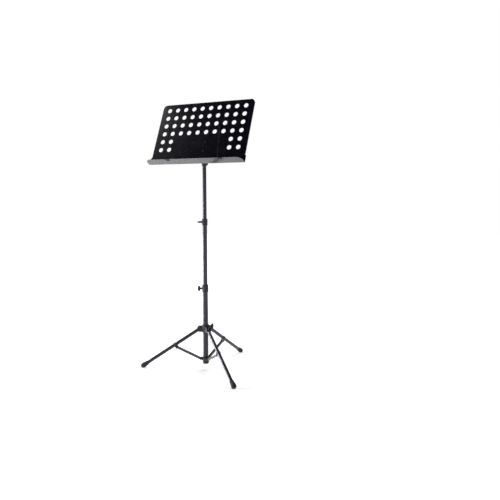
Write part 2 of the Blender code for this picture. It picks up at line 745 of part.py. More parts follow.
def rivet_places():
    """The four rivets, across and up from the bracket's centre."""
    half_across = RIVET_SPACING_ACROSS / 2
    half_up = RIVET_SPACING_UP / 2
    return [(x, z) for z in (half_up, -half_up) for x in (-half_across, half_across)]


def perforation():
    """Hole centres across and up the panel; the middle of the lower rows stays blank for the bracket."""
    columns = int((PANEL_WIDTH - 2 * HOLE_SIDE_MARGIN) / HOLE_PITCH_ACROSS) + 1
    rows = int((PANEL_HEIGHT - HOLE_TOP_MARGIN - HOLE_BOTTOM_MARGIN) / HOLE_PITCH_UP) + 1
    blank_top = BRACKET_CENTRE_UP + BRACKET_PLATE_HEIGHT / 2 + HOLE_RADIUS
    centres = []
    for row in range(rows):
        up = PANEL_HEIGHT - HOLE_TOP_MARGIN - row * HOLE_PITCH_UP
        for column in range(columns):
            across = (column - (columns - 1) / 2) * HOLE_PITCH_ACROSS
            if up > blank_top or abs(across) > BLANK_WIDTH / 2:
                centres.append((across, up))
    return centres


def loop_edges(shape, points):
    """A closed ring of edges in the plane of the panel's front."""
    verts = [shape.verts.new((x, 0, z)) for x, z in points]
    return [shape.edges.new((verts[i], verts[(i + 1) % len(verts)])) for i in range(len(verts))]


def panel_outline():
    half = PANEL_WIDTH / 2
    low = TRAY_SHEET + 2 * RUNNING_GAP
    flange = TRAY_FLANGE + 2 * RUNNING_GAP
    corner = PANEL_HEIGHT - PANEL_CORNER
    outline = [(-half, flange), (-half, low), (half, low), (half, flange)]
    outline += arc((half - PANEL_CORNER, corner), PANEL_CORNER, 0, 90, 6)
    outline += arc((-half + PANEL_CORNER, corner), PANEL_CORNER, 90, 180, 6)
    return outline


def build_panel(desk):
    """The perforated sheet, with its rim folded back above the tray's flange."""
    shape = bmesh.new()
    edges = loop_edges(shape, panel_outline())
    border = [edge for edge in edges if min(v.co.z for v in edge.verts) > TRAY_FLANGE]
    for across, up in perforation():
        circle = arc((across, up), HOLE_RADIUS, 0, 360 - 360 / HOLE_FACETS, HOLE_FACETS - 1)
        edges += loop_edges(shape, circle)
    for across, up in rivet_places():
        centre = (across, up + BRACKET_CENTRE_UP)
        circle = arc(centre, PIN_RADIUS + GAP, 0, 360 - 360 / TINY, TINY - 1)
        edges += loop_edges(shape, circle)
    bmesh.ops.triangle_fill(shape, use_beauty=True, use_dissolve=False, edges=edges, normal=(0, -1, 0))
    rim = bmesh.ops.extrude_edge_only(shape, edges=border)
    rim_verts = [item for item in rim["geom"] if isinstance(item, bmesh.types.BMVert)]
    bmesh.ops.translate(shape, vec=(0, PANEL_RIM, 0), verts=rim_verts)
    bmesh.ops.recalc_face_normals(shape, faces=shape.faces)
    if shape.faces[0].normal.y > 0:
        bmesh.ops.reverse_faces(shape, faces=shape.faces)
    return sheet_piece("desk_panel", shape, desk, PANEL_SHEET)


def sheet_piece(name, shape, parent, thickness):
    """A sheet whose modelled faces are its outer side, thickened inward."""
    mesh = bpy.data.meshes.new(name)
    shape.to_mesh(mesh)
    shape.free()
    mesh.materials.append(powder_coat())
    obj = bpy.data.objects.new(name, mesh)
    bpy.context.scene.collection.objects.link(obj)
    obj.parent = parent
    solidify = obj.modifiers.new("sheet", "SOLIDIFY")
    solidify.thickness = thickness
    solidify.offset = -1
    solidify.use_even_offset = True
    return obj


def arm_pivot(across):
    """Where a page arm's pivot crosses the tray's underside, in the desk's frame."""
    out = TRAY_DEPTH - ARM_PIVOT_FROM_EDGE
    return (across, -out * math.cos(TRAY_RISE), out * math.sin(TRAY_RISE))


def build_tray(desk):
    """The folded ledge: a flange behind the panel and a shelf with rounded front corners."""
    shape = bmesh.new()
    half = TRAY_WIDTH / 2
    back = PANEL_SHEET + GAP + TRAY_SHEET
    reach = TRAY_DEPTH - TRAY_CORNER

    def shelf_point(x, out):
        return (x, -out * math.cos(TRAY_RISE), out * math.sin(TRAY_RISE))

    bend = -back * math.tan(TRAY_RISE)
    left = shape.verts.new((-half, back, bend))
    right = shape.verts.new((half, back, bend))
    top = TRAY_FLANGE
    flange = [
        (half, top - TRAY_OVERHANG),
        (half - TRAY_OVERHANG, top),
        (-half + TRAY_OVERHANG, top),
        (-half, top - TRAY_OVERHANG),
    ]
    shape.faces.new([left, right] + [shape.verts.new((x, back, z)) for x, z in flange])
    front = arc((half - TRAY_CORNER, reach), TRAY_CORNER, 0, 90, 8)
    front += arc((-half + TRAY_CORNER, reach), TRAY_CORNER, 90, 180, 8)
    shape.faces.new([right, left] + [shape.verts.new(shelf_point(x, out)) for x, out in reversed(front)])
    bmesh.ops.recalc_face_normals(shape, faces=shape.faces)
    if max(shape.faces, key=lambda f: f.calc_center_median().y).normal.y < 0:
        bmesh.ops.reverse_faces(shape, faces=shape.faces)
    tray = sheet_piece("music_tray", shape, desk, TRAY_SHEET)
    turn = Matrix.Rotation(-TRAY_RISE, 4, "X")
    for side, across in zip(("left", "right"), ARM_PIVOTS_ACROSS):
        hole = rod(ARM_WIRE_RADIUS + GAP, -TRAY_SHEET, 2 * TRAY_SHEET, TINY, turn)
        cut(tray, f"{side}_arm_hole", hole, arm_pivot(across))
    return tray


def smooth_path(points, radius, steps):
    """The points of a bent wire: straight runs joined by arcs of about the given bend radius."""
    path = [points[0]]
    for before, corner, after in zip(points, points[1:], points[2:]):
        back = (before - corner).normalized()
        ahead = (after - corner).normalized()
        limit = min((before - corner).length, (after - corner).length) / 2.1
        half_angle = back.angle(ahead) / 2
        trim = min(radius / math.tan(half_angle), limit)
        first = corner + back * trim
        last = corner + ahead * trim
        for step in range(steps + 1):
            t = step / steps
            path.append(first * (1 - t) ** 2 + corner * (2 * t * (1 - t)) + last * t**2)
    path.append(points[-1])
    return path


def arm_corners():
    """A page arm's corners, from its pivot: X across, -Y out from the panel, Z up from the tray's underside."""
    drop = -(ARM_WIRE_RADIUS + 2 * RUNNING_GAP)
    reach = (ARM_PIVOT_FROM_EDGE + 2 * ARM_WIRE_RADIUS + 2 * RUNNING_GAP) / math.cos(ARM_TURN)
    edge_x = -reach * math.sin(ARM_TURN)
    edge_y = -reach * math.cos(ARM_TURN)
    to_panel = TRAY_DEPTH - ARM_PIVOT_FROM_EDGE - 2 * ARM_WIRE_RADIUS - RUNNING_GAP
    return [
        Vector((0, 0, TRAY_SHEET + 4 * RUNNING_GAP)),
        Vector((0, 0, drop)),
        Vector((edge_x, edge_y, drop)),
        Vector((edge_x, edge_y, ARM_LEAN_START)),
        Vector((edge_x + ARM_LEAN_ACROSS, to_panel - ARM_TOP_UP * math.tan(TRAY_RISE), ARM_TOP_UP)),
    ]


def build_page_arm(side, across, desk):
    """A sprung wire arm that turns on its own end, held by a push-on cap on top of the tray."""
    pivot = frame(f"{side}_page_arm_pivot", desk, arm_pivot(across), (-TRAY_RISE, 0, 0))
    corners = arm_corners()
    path = smooth_path(corners, 3 * ARM_WIRE_RADIUS, 4)
    curve = bpy.data.curves.new(f"{side}_page_arm", "CURVE")
    curve.dimensions = "3D"
    curve.bevel_depth = ARM_WIRE_RADIUS
    curve.bevel_resolution = 2
    curve.use_fill_caps = True
    curve.materials.append(blackened_steel())
    spline = curve.splines.new("POLY")
    spline.points.add(len(path) - 1)
    for point, place in zip(spline.points, path):
        point.co = (*place, 1)
    arm = bpy.data.objects.new(f"{side}_page_arm", curve)
    bpy.context.scene.collection.objects.link(arm)
    arm.parent = pivot
    bottom = TRAY_SHEET + GAP
    top = corners[0].z + 2 * RUNNING_GAP
    bore = ARM_WIRE_RADIUS + GAP
    profile = [
        (0, corners[0].z + GAP),
        (bore, corners[0].z + GAP),
        (bore, bottom),
        (ARM_CAP_RADIUS, bottom),
        (ARM_CAP_RADIUS, bottom + RUNNING_GAP),
        (ARM_CAP_RADIUS / 2, top + RUNNING_GAP),
        (0, top + RUNNING_GAP),
    ]
    piece(f"{side}_page_arm_cap", turned(profile, COARSE), black_plastic(), pivot)
    build_arm_tip(side, pivot, corners[-2], corners[-1])


def build_arm_tip(side, pivot, below, end):
    """The plastic tip pushed over a page arm's upper end."""
    way = (end - below).to_track_quat("Z", "Y").to_matrix().to_4x4()
    bore = ARM_WIRE_RADIUS + GAP
    skin = bore + 2 * RUNNING_GAP
    sleeve = 4 * ARM_WIRE_RADIUS
    profile = [(0, GAP), (bore, GAP), (bore, -sleeve), (skin, -sleeve)]
    profile += arc((0, GAP), skin, 0, 60, 3)
    profile += [(0, GAP + skin)]
    piece(f"{side}_page_arm_tip", turned(profile, TINY, way), black_rubber(), pivot, end)


def build_desk(head):
    tilt = frame("desk_hinge", head, (0, 0, HINGE_HEIGHT), (-DESK_TILT, 0, 0))
    build_tilt_bolt(tilt)
    build_bracket(tilt)
    desk = frame("desk_foot", tilt, (0, -DESK_STANDOFF, -BRACKET_CENTRE_UP))
    build_panel(desk)
    build_tray(desk)
    grip = PANEL_SHEET + GAP + BRACKET_SHEET
    for index, (across, up) in enumerate(rivet_places()):
        place = (across, grip / 2, BRACKET_CENTRE_UP + up)
        rivet(f"desk_rivet_{index + 1}", grip, desk, place)
    for side, across in zip(("left", "right"), ARM_PIVOTS_ACROSS):
        build_page_arm(side, across, desk)


def pole_place():
    """The pole's place on the floor that puts the feet's bounding box about the origin."""
    reach = LEG_PIVOT_RADIUS + FOOT_CENTRE * math.cos(LEG_SLOPE)
    xs = [reach * math.cos(azimuth) for azimuth in LEG_AZIMUTHS.values()]
    ys = [reach * math.sin(azimuth) for azimuth in LEG_AZIMUTHS.values()]
    return (-(min(xs) + max(xs)) / 2, -(min(ys) + max(ys)) / 2, 0)


def main():
    clear_scene()
    pole = frame("pole_axis", None, pole_place())
    build_base_cap(pole)
    hub = build_hub(pole)
    for name, azimuth in LEG_AZIMUTHS.items():
        build_leg(name, azimuth, hub)
    top = build_pole(pole)
    build_desk(build_head(top))


main()
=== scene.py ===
"""Folding music stand: the finished pieces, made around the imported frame, and a plain studio."""

import json
import math

import bmesh
import bpy
from bpy.props import FloatProperty, FloatVectorProperty, IntProperty, PointerProperty
from mathutils import Matrix, Vector


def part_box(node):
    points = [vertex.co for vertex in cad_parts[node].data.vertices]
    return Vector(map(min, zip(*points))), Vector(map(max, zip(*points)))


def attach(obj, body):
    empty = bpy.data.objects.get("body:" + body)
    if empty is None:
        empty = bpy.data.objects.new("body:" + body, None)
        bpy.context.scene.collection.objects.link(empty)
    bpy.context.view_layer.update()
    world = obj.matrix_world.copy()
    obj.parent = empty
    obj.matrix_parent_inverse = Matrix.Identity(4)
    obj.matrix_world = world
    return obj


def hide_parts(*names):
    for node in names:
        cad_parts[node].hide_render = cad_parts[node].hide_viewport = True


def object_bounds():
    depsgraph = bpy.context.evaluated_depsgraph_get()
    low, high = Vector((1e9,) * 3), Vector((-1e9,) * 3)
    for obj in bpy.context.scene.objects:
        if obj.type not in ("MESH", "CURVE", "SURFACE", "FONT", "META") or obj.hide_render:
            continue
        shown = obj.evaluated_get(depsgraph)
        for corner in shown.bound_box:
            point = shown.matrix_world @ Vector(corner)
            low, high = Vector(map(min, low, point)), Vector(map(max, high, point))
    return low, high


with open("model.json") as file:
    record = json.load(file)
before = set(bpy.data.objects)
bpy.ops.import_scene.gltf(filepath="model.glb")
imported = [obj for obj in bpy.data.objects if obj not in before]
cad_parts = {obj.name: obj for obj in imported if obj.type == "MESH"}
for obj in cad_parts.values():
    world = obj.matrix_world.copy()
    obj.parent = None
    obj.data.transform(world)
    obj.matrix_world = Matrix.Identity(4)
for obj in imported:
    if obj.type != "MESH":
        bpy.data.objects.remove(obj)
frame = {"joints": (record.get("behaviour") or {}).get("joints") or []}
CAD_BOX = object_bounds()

bl_info = {
    "name": "Folding music stand",
    "version": (1, 0, 0),
    "blender": (4, 5, 0),
    "location": "3D View > Sidebar > Music stand",
    "description": "Makes a folding music stand with a perforated desk, piece by piece",
    "category": "Object",
}

SIDES = ("rear", "left", "front")
ROUND = 48
SMALL_ROUND = 28
THIN_EDGE = 0.0003
SOFT_EDGE = 0.0004
MOULDED_EDGE = 0.0006
GROOVE_WIDTH = 0.0004
ALONG_X = Matrix.Rotation(math.pi / 2, 4, "Y")
ALONG_Y = Matrix.Rotation(-math.pi / 2, 4, "X")
UPRIGHT = Matrix.Identity(4)


# What the frame says.

JOINTS = {joint["name"]: joint for joint in frame["joints"]}


def joint_at(name):
    return Vector(JOINTS[name]["pos_m"])


def joint_axis(name):
    return Vector(JOINTS[name]["axis"]).normalized()


def middle(node):
    low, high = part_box(node)
    return (low + high) / 2


def extent(node):
    low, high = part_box(node)
    return high - low


def heights(node):
    low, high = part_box(node)
    return low.z, high.z


AXIS = joint_at("head_swivel")
POLE = Matrix.Translation((AXIS.x, AXIS.y, 0))
TILT_PLACE = joint_at("desk_tilt")
SHELF_NORMAL = joint_axis("left_page_arm_swing")
LEG_PIVOT = joint_at("rear_leg_fold")
LEG_PIVOT_RADIUS = math.hypot(LEG_PIVOT.x - AXIS.x, LEG_PIVOT.y - AXIS.y)
LOWER_RADIUS = extent("lower_tube").x / 2
MIDDLE_RADIUS = extent("middle_tube").x / 2
TOP_RADIUS = extent("top_tube").x / 2
DESK_TILT = -math.radians(JOINTS["desk_tilt"]["range_deg"][0])


# Sizes and colours that a user may change.


def length(name, description, default):
    return FloatProperty(
        name=name, description=description, default=default, min=0, precision=5, unit="LENGTH"
    )


def angle(name, description, default):
    return FloatProperty(name=name, description=description, default=default, unit="ROTATION")


def colour(name, description, default):
    return FloatVectorProperty(
        name=name, description=description, default=default, size=3, min=0, max=1, subtype="COLOR"
    )


def power(name, description, default):
    return FloatProperty(name=name, description=description, default=default, min=0, unit="POWER")


def strength(name, description, default):
    return FloatProperty(name=name, description=description, default=default, min=0, precision=3)


class PoleSizes(bpy.types.PropertyGroup):
    gap: length("Gap", "Space between pieces that touch", 0.0003)
    play: length("Play", "Space between pieces that slide or turn", 0.0005)
    tube_wall: length("Tube wall", "Wall of the pole's tubes and the legs", 0.0012)
    clamp_wall: length("Clamp wall", "Wall of the two clamps on the pole", 0.0022)
    clamp_lip: length("Clamp lip", "Height of the lip that closes a clamp round the inner tube", 0.005)
    socket_wall: length("Socket wall", "Wall of the head's socket", 0.0022)
    socket_depth: length("Socket depth", "How far the top tube goes into the socket", 0.034)
    tongue_width: length("Tongue width", "Thickness of the tongue that the desk tilts on", 0.010)
    tongue_radius: length("Tongue radius", "Round end of the tongue", 0.0095)
    groove: length("Groove", "Depth of the moulded grooves round clamps, hub and socket", 0.0004)


class KnobSizes(bpy.types.PropertyGroup):
    screw_radius: length("Screw radius", "Radius of the clamp screws", 0.0025)
    thread_pitch: length("Thread pitch", "Pitch of the screw threads", 0.0008)
    boss_radius: length("Boss radius", "Radius of the bosses that the screws go through", 0.0055)
    boss_length: length("Boss length", "How far a boss stands out", 0.004)
    wing_span: length("Wing span", "Length of a knob's wing", 0.028)
    wing_depth: length("Wing depth", "How far a wing stands out from its neck", 0.013)
    wing_thickness: length("Wing thickness", "Thickness of a knob's wing", 0.006)
    neck_radius: length("Neck radius", "Radius of a knob's neck", 0.0045)
    neck_length: length("Neck length", "Length of a knob's neck", 0.004)
    bolt_radius: length("Bolt radius", "Radius of the tilt bolt", 0.004)
    bolt_head: length("Bolt head radius", "Radius of the tilt bolt's domed head", 0.0068)


class TripodSizes(bpy.types.PropertyGroup):
    hub_wall: length("Hub wall", "Wall of the sliding hub", 0.0041)
    hub_ear_radius: length("Hub ear radius", "Round end of the ears that hold the legs", 0.013)
    hub_ear_thickness: length("Hub ear thickness", "Thickness of the hub's ears", 0.003)
    leg_radius: length("Leg radius", "Outer radius of the legs", 0.008)
    leg_butt: length("Leg butt", "How far a leg goes on past its pivot", 0.0075)
    pin_radius: length("Pin radius", "Radius of the pins and rivets", 0.002)
    pin_rise: length("Rivet dome", "Height of a rivet's head", 0.0014)
    strut_width: length("Strut width", "Width of the channel struts", 0.010)
    strut_wall: length("Strut wall", "Sheet of the channel struts", 0.0012)
    strut_below_leg: length("Strut pin below leg", "Strut pin below the leg's axis", 0.014)
    bracket_length: length("Bracket length", "Length of the saddle on each leg", 0.012)
    bracket_wall: length("Bracket wall", "Sheet of the saddle on each leg", 0.0015)
    cap_wall: length("Base cap wall", "Wall of the cap under the pole", 0.0027)
    cap_floor: length("Base cap floor", "Floor of the cap under the pole", 0.013)
    cap_ear_radius: length("Base ear radius", "Round end of the ears that hold the struts", 0.006)
    cap_ear_thickness: length("Base ear thickness", "Thickness of the base cap's ears", 0.0025)
    notch_drift: length("Notch drift", "Extra width of the notch under each strut pin", 0.0018)
    foot_radius: length("Foot radius", "Radius of the rubber feet", 0.0128)
    foot_wall: length("Foot wall", "Rubber round the leg's end", 0.0020)
    foot_length: length("Foot length", "Length of a rubber foot", 0.040)
    foot_sink: length("Foot flat", "Height cut off a foot where it stands on the floor", 0.003)


class DeskSizes(bpy.types.PropertyGroup):
    panel_width: length("Panel width", "Width of the perforated panel", 0.485)
    panel_height: length("Panel height", "Height of the panel from the tray's fold", 0.3183)
    sheet: length("Sheet", "Thickness of the panel and the tray", 0.0012)
    panel_corner: length("Panel corner", "Radius of the panel's upper corners", 0.020)
    panel_rim: length("Panel rim", "Depth of the rim folded back round the panel", 0.006)
    fold_radius: length("Fold radius", "Outer radius of the folded edges", 0.0014)
    standoff: length("Desk standoff", "From the tilt bolt to the panel's face", 0.0544)
    bracket_up: length("Bracket height", "From the tray's fold up to the bracket's middle", 0.0866)
    hole_radius: length("Hole radius", "Radius of the panel's holes", 0.0108)
    pitch_across: length("Pitch across", "Spacing of the holes across", 0.045)
    pitch_up: length("Pitch up", "Spacing of the rows of holes", 0.042)
    side_margin: length("Side margin", "From the panel's side to the first hole", 0.038)
    top_margin: length("Top margin", "From the panel's top to the first row", 0.0327)
    bottom_margin: length("Bottom margin", "From the tray's fold to the last row", 0.072)
    blank_width: length("Blank width", "Width without holes in front of the bracket", 0.270)
    tray_overhang: length("Tray overhang", "How far the tray is wider than the panel, each side", 0.0059)
    tray_flange: length("Tray flange", "Height of the tray's flange behind the panel", 0.0386)
    tray_depth: length("Tray depth", "How far the tray stands out", 0.042)
    tray_corner: length("Tray corner", "Radius of the tray's front corners", 0.028)
    plate_width: length("Bracket plate width", "Width of the bracket's plate", 0.084)
    plate_height: length("Bracket plate height", "Height of the bracket's plate", 0.070)
    bracket_sheet: length("Bracket sheet", "Thickness of the bracket", 0.002)
    ear_inset: length("Ear inset", "From the plate's end to the ear's root", 0.007)
    ear_radius: length("Ear radius", "Round end of the bracket's ears", 0.011)
    rivets_across: length("Rivets across", "Spacing of the rivets across", 0.060)
    rivets_up: length("Rivets up", "Spacing of the rivets up", 0.046)
    wire_radius: length("Page arm radius", "Radius of the page arms' wire", 0.0016)
    arm_from_edge: length("Page arm inset", "From the tray's edge to a page arm's pivot", 0.012)
    arm_turn: angle("Page arm turn", "Slant of a page arm under the tray", math.radians(45))
    arm_lean: length("Page arm lean", "How far a page arm leans to the side", 0.045)
    arm_lean_start: length("Page arm bend", "Height of the bend above the tray", 0.004)
    arm_height: length("Page arm height", "Height of a page arm above the tray", 0.184)
    arm_cap_radius: length("Page arm cap", "Radius of the cap on a page arm's end", 0.005)


class FinishColours(bpy.types.PropertyGroup):
    powder: colour("Powder coat", "Coat of the desk, bracket and struts", (0.0028, 0.0027, 0.0065))
    powder_dust: colour("Powder coat, worn", "Tone where the coat is rubbed", (0.0085, 0.0083, 0.0150))
    tube: colour("Tube paint", "Satin paint of the pole and the legs", (0.024, 0.020, 0.031))
    tube_rubbed: colour("Tube paint, rubbed", "Faint lines along the tubes", (0.047, 0.043, 0.053))
    plastic: colour("Moulded plastic", "Clamps, hub, socket, knobs and caps", (0.012, 0.012, 0.0145))
    plastic_pale: colour("Moulded plastic, pale", "Flow marks in the plastic", (0.026, 0.026, 0.030))
    rubber: colour("Rubber", "Feet and the page arms' tips", (0.014, 0.014, 0.015))
    rubber_dust: colour("Rubber, dusty", "Dust on the rubber near the floor", (0.060, 0.058, 0.055))
    zinc: colour("Zinc plate", "Screws, tilt bolt and washer", (0.46, 0.47, 0.50))
    zinc_dull: colour("Zinc plate, dull", "Dull patches of the plating", (0.30, 0.30, 0.31))
    blackened: colour("Blackened steel", "Pins, saddles, rivets and page arms", (0.020, 0.020, 0.024))
    blackened_bare: colour("Blackened steel, bare", "Where the blacking has rubbed off", (0.10, 0.10, 0.11))
    floor: colour("Floor", "The studio floor", (0.90, 0.90, 0.91))


class StageSettings(bpy.types.PropertyGroup):
    camera_distance: length("Camera distance", "From the pole to the camera along the floor", 2.5072)
    camera_side: angle("Camera side", "Camera to the right of the front", math.radians(29.29))
    camera_height: length("Camera height", "Height of the camera", 0.839)
    camera_turn: angle("Camera turn", "How far the camera looks to the left", math.radians(24.385))
    camera_dip: angle("Camera dip", "How far the camera looks down", math.radians(5.96))
    camera_lens: FloatProperty(name="Lens", description="Focal length in millimetres", default=38.0, min=1)
    floor_radius: length("Floor radius", "Radius of the studio floor", 9.0)
    floor_facets: IntProperty(name="Floor facets", description="Sides of the round floor", default=96, min=3)
    key_power: power("Key", "Tall softbox at the left", 95.0)
    back_power: power("Back", "Softbox above and behind", 120.0)
    side_power: power("Side", "Softbox high at the left", 7.0)
    fill_power: power("Fill", "Softbox at the right", 2.0)
    floor_glow: strength("Floor glow", "Floor's own light near the stand", 0.62)
    far_glow: strength("Far glow", "Floor's own light far from the stand", 1.15)
    world_low: strength("World, low", "Brightness round the stage", 0.55)
    world_high: strength("World, high", "Brightness of the ceiling", 0.006)


def sizes(group):
    return getattr(bpy.context.scene, f"music_stand_{group}")


# Shapes.


def arc(centre, radius, start, end, steps):
    """Points of an arc in a plane, with angles in degrees."""
    points = []
    for step in range(steps + 1):
        turn = math.radians(start + (end - start) * step / steps)
        points.append((centre[0] + radius * math.cos(turn), centre[1] + radius * math.sin(turn)))
    return points


def rounded(points, radius, steps=4, closed=False):
    """A path in a plane whose corners are rounded, each no further than its shorter side allows."""
    result = [] if closed else [points[0]]
    count = len(points)
    for index in range(count) if closed else range(1, count - 1):
        before = Vector(points[index - 1])
        corner = Vector(points[index])
        after = Vector(points[(index + 1) % count])
        back = before - corner
        ahead = after - corner
        if back.length == 0 or ahead.length == 0 or back.angle(ahead) > math.radians(165):
            result.append(tuple(corner))
            continue
        trim = min(radius, 0.48 * back.length, 0.48 * ahead.length)
        first = corner + back.normalized() * trim
        last = corner + ahead.normalized() * trim
        for step in range(steps + 1):
            t = step / steps
            result.append(tuple(first * (1 - t) ** 2 + corner * (2 * t * (1 - t)) + last * t**2))
    return result if closed else result + [points[-1]]


def turned(profile, facets=ROUND, way=UPRIGHT):
    """A solid turned from (radius, height) points; a profile that stays off the axis closes into a ring."""
    shape = bmesh.new()
    rings = []
    for radius, height in profile:
        if radius < 1e-9:
            rings.append([shape.verts.new((0, 0, height))])
            continue
        turns = [2 * math.pi * index / facets for index in range(facets)]
        rings.append([shape.verts.new((radius * math.cos(a), radius * math.sin(a), height)) for a in turns])
    following = rings[1:] + ([rings[0]] if profile[0][0] > 0 else [])
    for first, second in zip(rings, following):
        for index in range(facets):
            after = (index + 1) % facets
            corners = [
                first[index % len(first)],
                first[after % len(first)],
                second[after % len(second)],
                second[index % len(second)],
            ]
            shape.faces.new(list(dict.fromkeys(corners)))
    bmesh.ops.recalc_face_normals(shape, faces=shape.faces)
    bmesh.ops.transform(shape, matrix=way, verts=shape.verts)
    return shape


def rod(radius, start, end, facets=SMALL_ROUND, way=UPRIGHT, edge=0.0):
    profile = [(0, start), (radius, start), (radius, end), (0, end)]
    if edge:
        profile = rounded(profile, edge)
    return turned(profile, facets, way)


def tube_profile(inner, outer, start, end, edge):
    """A tube's wall whose ends are rounded over."""
    return rounded([(inner, start), (outer, start), (outer, end), (inner, end)], edge, closed=True)


def grooved(radius, bottom, top, count, depth, width):
    """The outside of a moulded collar, from bottom to top, with shallow grooves."""
    points = [(radius, bottom)]
    for index in range(count):
        place = bottom + (top - bottom) * (index + 1) / (count + 1)
        points += [(radius, place - width), (radius - depth, place - width / 2)]
        points += [(radius - depth, place + width / 2), (radius, place + width)]
    return points + [(radius, top)]


def threaded(radius, start, end, pitch):
    """The outside of a screw: rings of thread with rounded crests."""
    crests = max(1, int(abs(end - start) / pitch))
    step = (end - start) / crests
    points = [(radius - pitch / 2, start)]
    for index in range(crests):
        low = start + step * index
        points += [(radius - pitch / 2, low + 0.15 * step), (radius, low + 0.42 * step)]
        points += [(radius, low + 0.58 * step), (radius - pitch / 2, low + 0.85 * step)]
    return points + [(radius - pitch / 2, end)]


def prism(outline, low, high, place, edge=0.0, steps=3):
    """A straight solid from an outline; place turns (a, b, depth) into a point; edge rounds both rims."""
    shape = bmesh.new()
    near = [shape.verts.new(place(a, b, low)) for a, b in outline]
    far = [shape.verts.new(place(a, b, high)) for a, b in outline]
    caps = [shape.faces.new(near), shape.faces.new(far)]
    for index in range(len(outline)):
        after = (index + 1) % len(outline)
        shape.faces.new((near[index], near[after], far[after], far[index]))
    bmesh.ops.recalc_face_normals(shape, faces=shape.faces)
    if edge:
        rims = list({item for cap in caps for item in cap.edges})
        bmesh.ops.bevel(shape, geom=rims, offset=edge, segments=steps, profile=0.5, affect="EDGES")
    return shape


def across_y(a, b, depth):
    return (a, depth, b)


def across_x(a, b, depth):
    return (depth, a, b)


def block(low, high):
    outline = [(low[0], low[1]), (high[0], low[1]), (high[0], high[1]), (low[0], high[1])]
    return prism(outline, low[2], high[2], lambda a, b, depth: (a, b, depth))


def moved(shape, matrix):
    bmesh.ops.transform(shape, matrix=matrix, verts=shape.verts)
    return shape


def helper_object(shape):
    """A bmesh as an object of the scene, until settle() has used it."""
    mesh = bpy.data.meshes.new("helper")
    shape.to_mesh(mesh)
    shape.free()
    obj = bpy.data.objects.new("helper", mesh)
    bpy.context.scene.collection.objects.link(obj)
    return obj


def settle(obj, helpers=()):
    """The mesh of an object with its modifiers applied; the object and its helpers are removed."""
    bpy.context.view_layer.update()
    graph = bpy.context.evaluated_depsgraph_get()
    mesh = bpy.data.meshes.new_from_object(obj.evaluated_get(graph), depsgraph=graph)
    for used in (obj, *helpers):
        bpy.data.objects.remove(used, do_unlink=True)
    return mesh


def carved(shape, added=(), cut=()):
    """A mesh made of a shape with others joined to it and others taken out of it."""
    obj = helper_object(shape)
    helpers = []
    for operation, tools in (("UNION", added), ("DIFFERENCE", cut)):
        for tool in tools:
            helpers.append(helper_object(tool))
            modifier = obj.modifiers.new("step", "BOOLEAN")
            modifier.operation = operation
            modifier.solver = "EXACT"
            modifier.object = helpers[-1]
    return settle(obj, helpers)


def swept(path, radius, resolution=5):
    """A round wire along a path, with flat ends."""
    curve = bpy.data.curves.new("wire", "CURVE")
    curve.dimensions = "3D"
    curve.bevel_depth = radius
    curve.bevel_resolution = resolution
    curve.use_fill_caps = True
    spline = curve.splines.new("POLY")
    spline.points.add(len(path) - 1)
    for point, place in zip(spline.points, path):
        point.co = (*place, 1)
    obj = bpy.data.objects.new("wire", curve)
    bpy.context.scene.collection.objects.link(obj)
    return settle(obj)


def finished(node, body, material, source, place=POLE, soften=0.0, crease=32, own_axes=False):
    """A finished piece that stands for a CAD node and moves with its body; own_axes keeps its local axes."""
    mesh = source
    if isinstance(source, bmesh.types.BMesh):
        mesh = bpy.data.meshes.new(node)
        source.to_mesh(mesh)
        source.free()
    mesh.shade_smooth()
    mesh.set_sharp_from_angle(angle=math.radians(crease))
    obj = bpy.data.objects.new(f"{node}_finished", mesh)
    bpy.context.scene.collection.objects.link(obj)
    if soften:
        bevel = obj.modifiers.new("softened edges", "BEVEL")
        bevel.width = soften
        bevel.segments = 2
        bevel.limit_method = "ANGLE"
        bevel.angle_limit = math.radians(crease)
        bevel.use_clamp_overlap = True
    weighted = obj.modifiers.new("even shading", "WEIGHTED_NORMAL")
    weighted.keep_sharp = True
    mesh = settle(obj)
    mesh.name = node
    mesh.materials.clear()
    mesh.materials.append(material)
    obj = bpy.data.objects.new(f"{node}_finished", mesh)
    bpy.context.scene.collection.objects.link(obj)
    if own_axes:
        obj.matrix_world = place
    else:
        mesh.transform(place)
    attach(obj, body)
    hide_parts(node)
    return obj


# Materials.


class Socket:
    """An output of a material's node; arithmetic on it adds Math nodes."""

    def __init__(self, shader, socket):
        self.shader = shader
        self.socket = socket

    def math(self, operation, first, second):
        return self.shader.node("ShaderNodeMath", {"operation": operation}, {0: first, 1: second})

    def __add__(self, other):
        return self.math("ADD", self, other)

    def __radd__(self, other):
        return self.math("ADD", other, self)

    def __sub__(self, other):
        return self.math("SUBTRACT", self, other)

    def __rsub__(self, other):
        return self.math("SUBTRACT", other, self)

    def __mul__(self, other):
        return self.math("MULTIPLY", self, other)

    def __rmul__(self, other):
        return self.math("MULTIPLY", other, self)


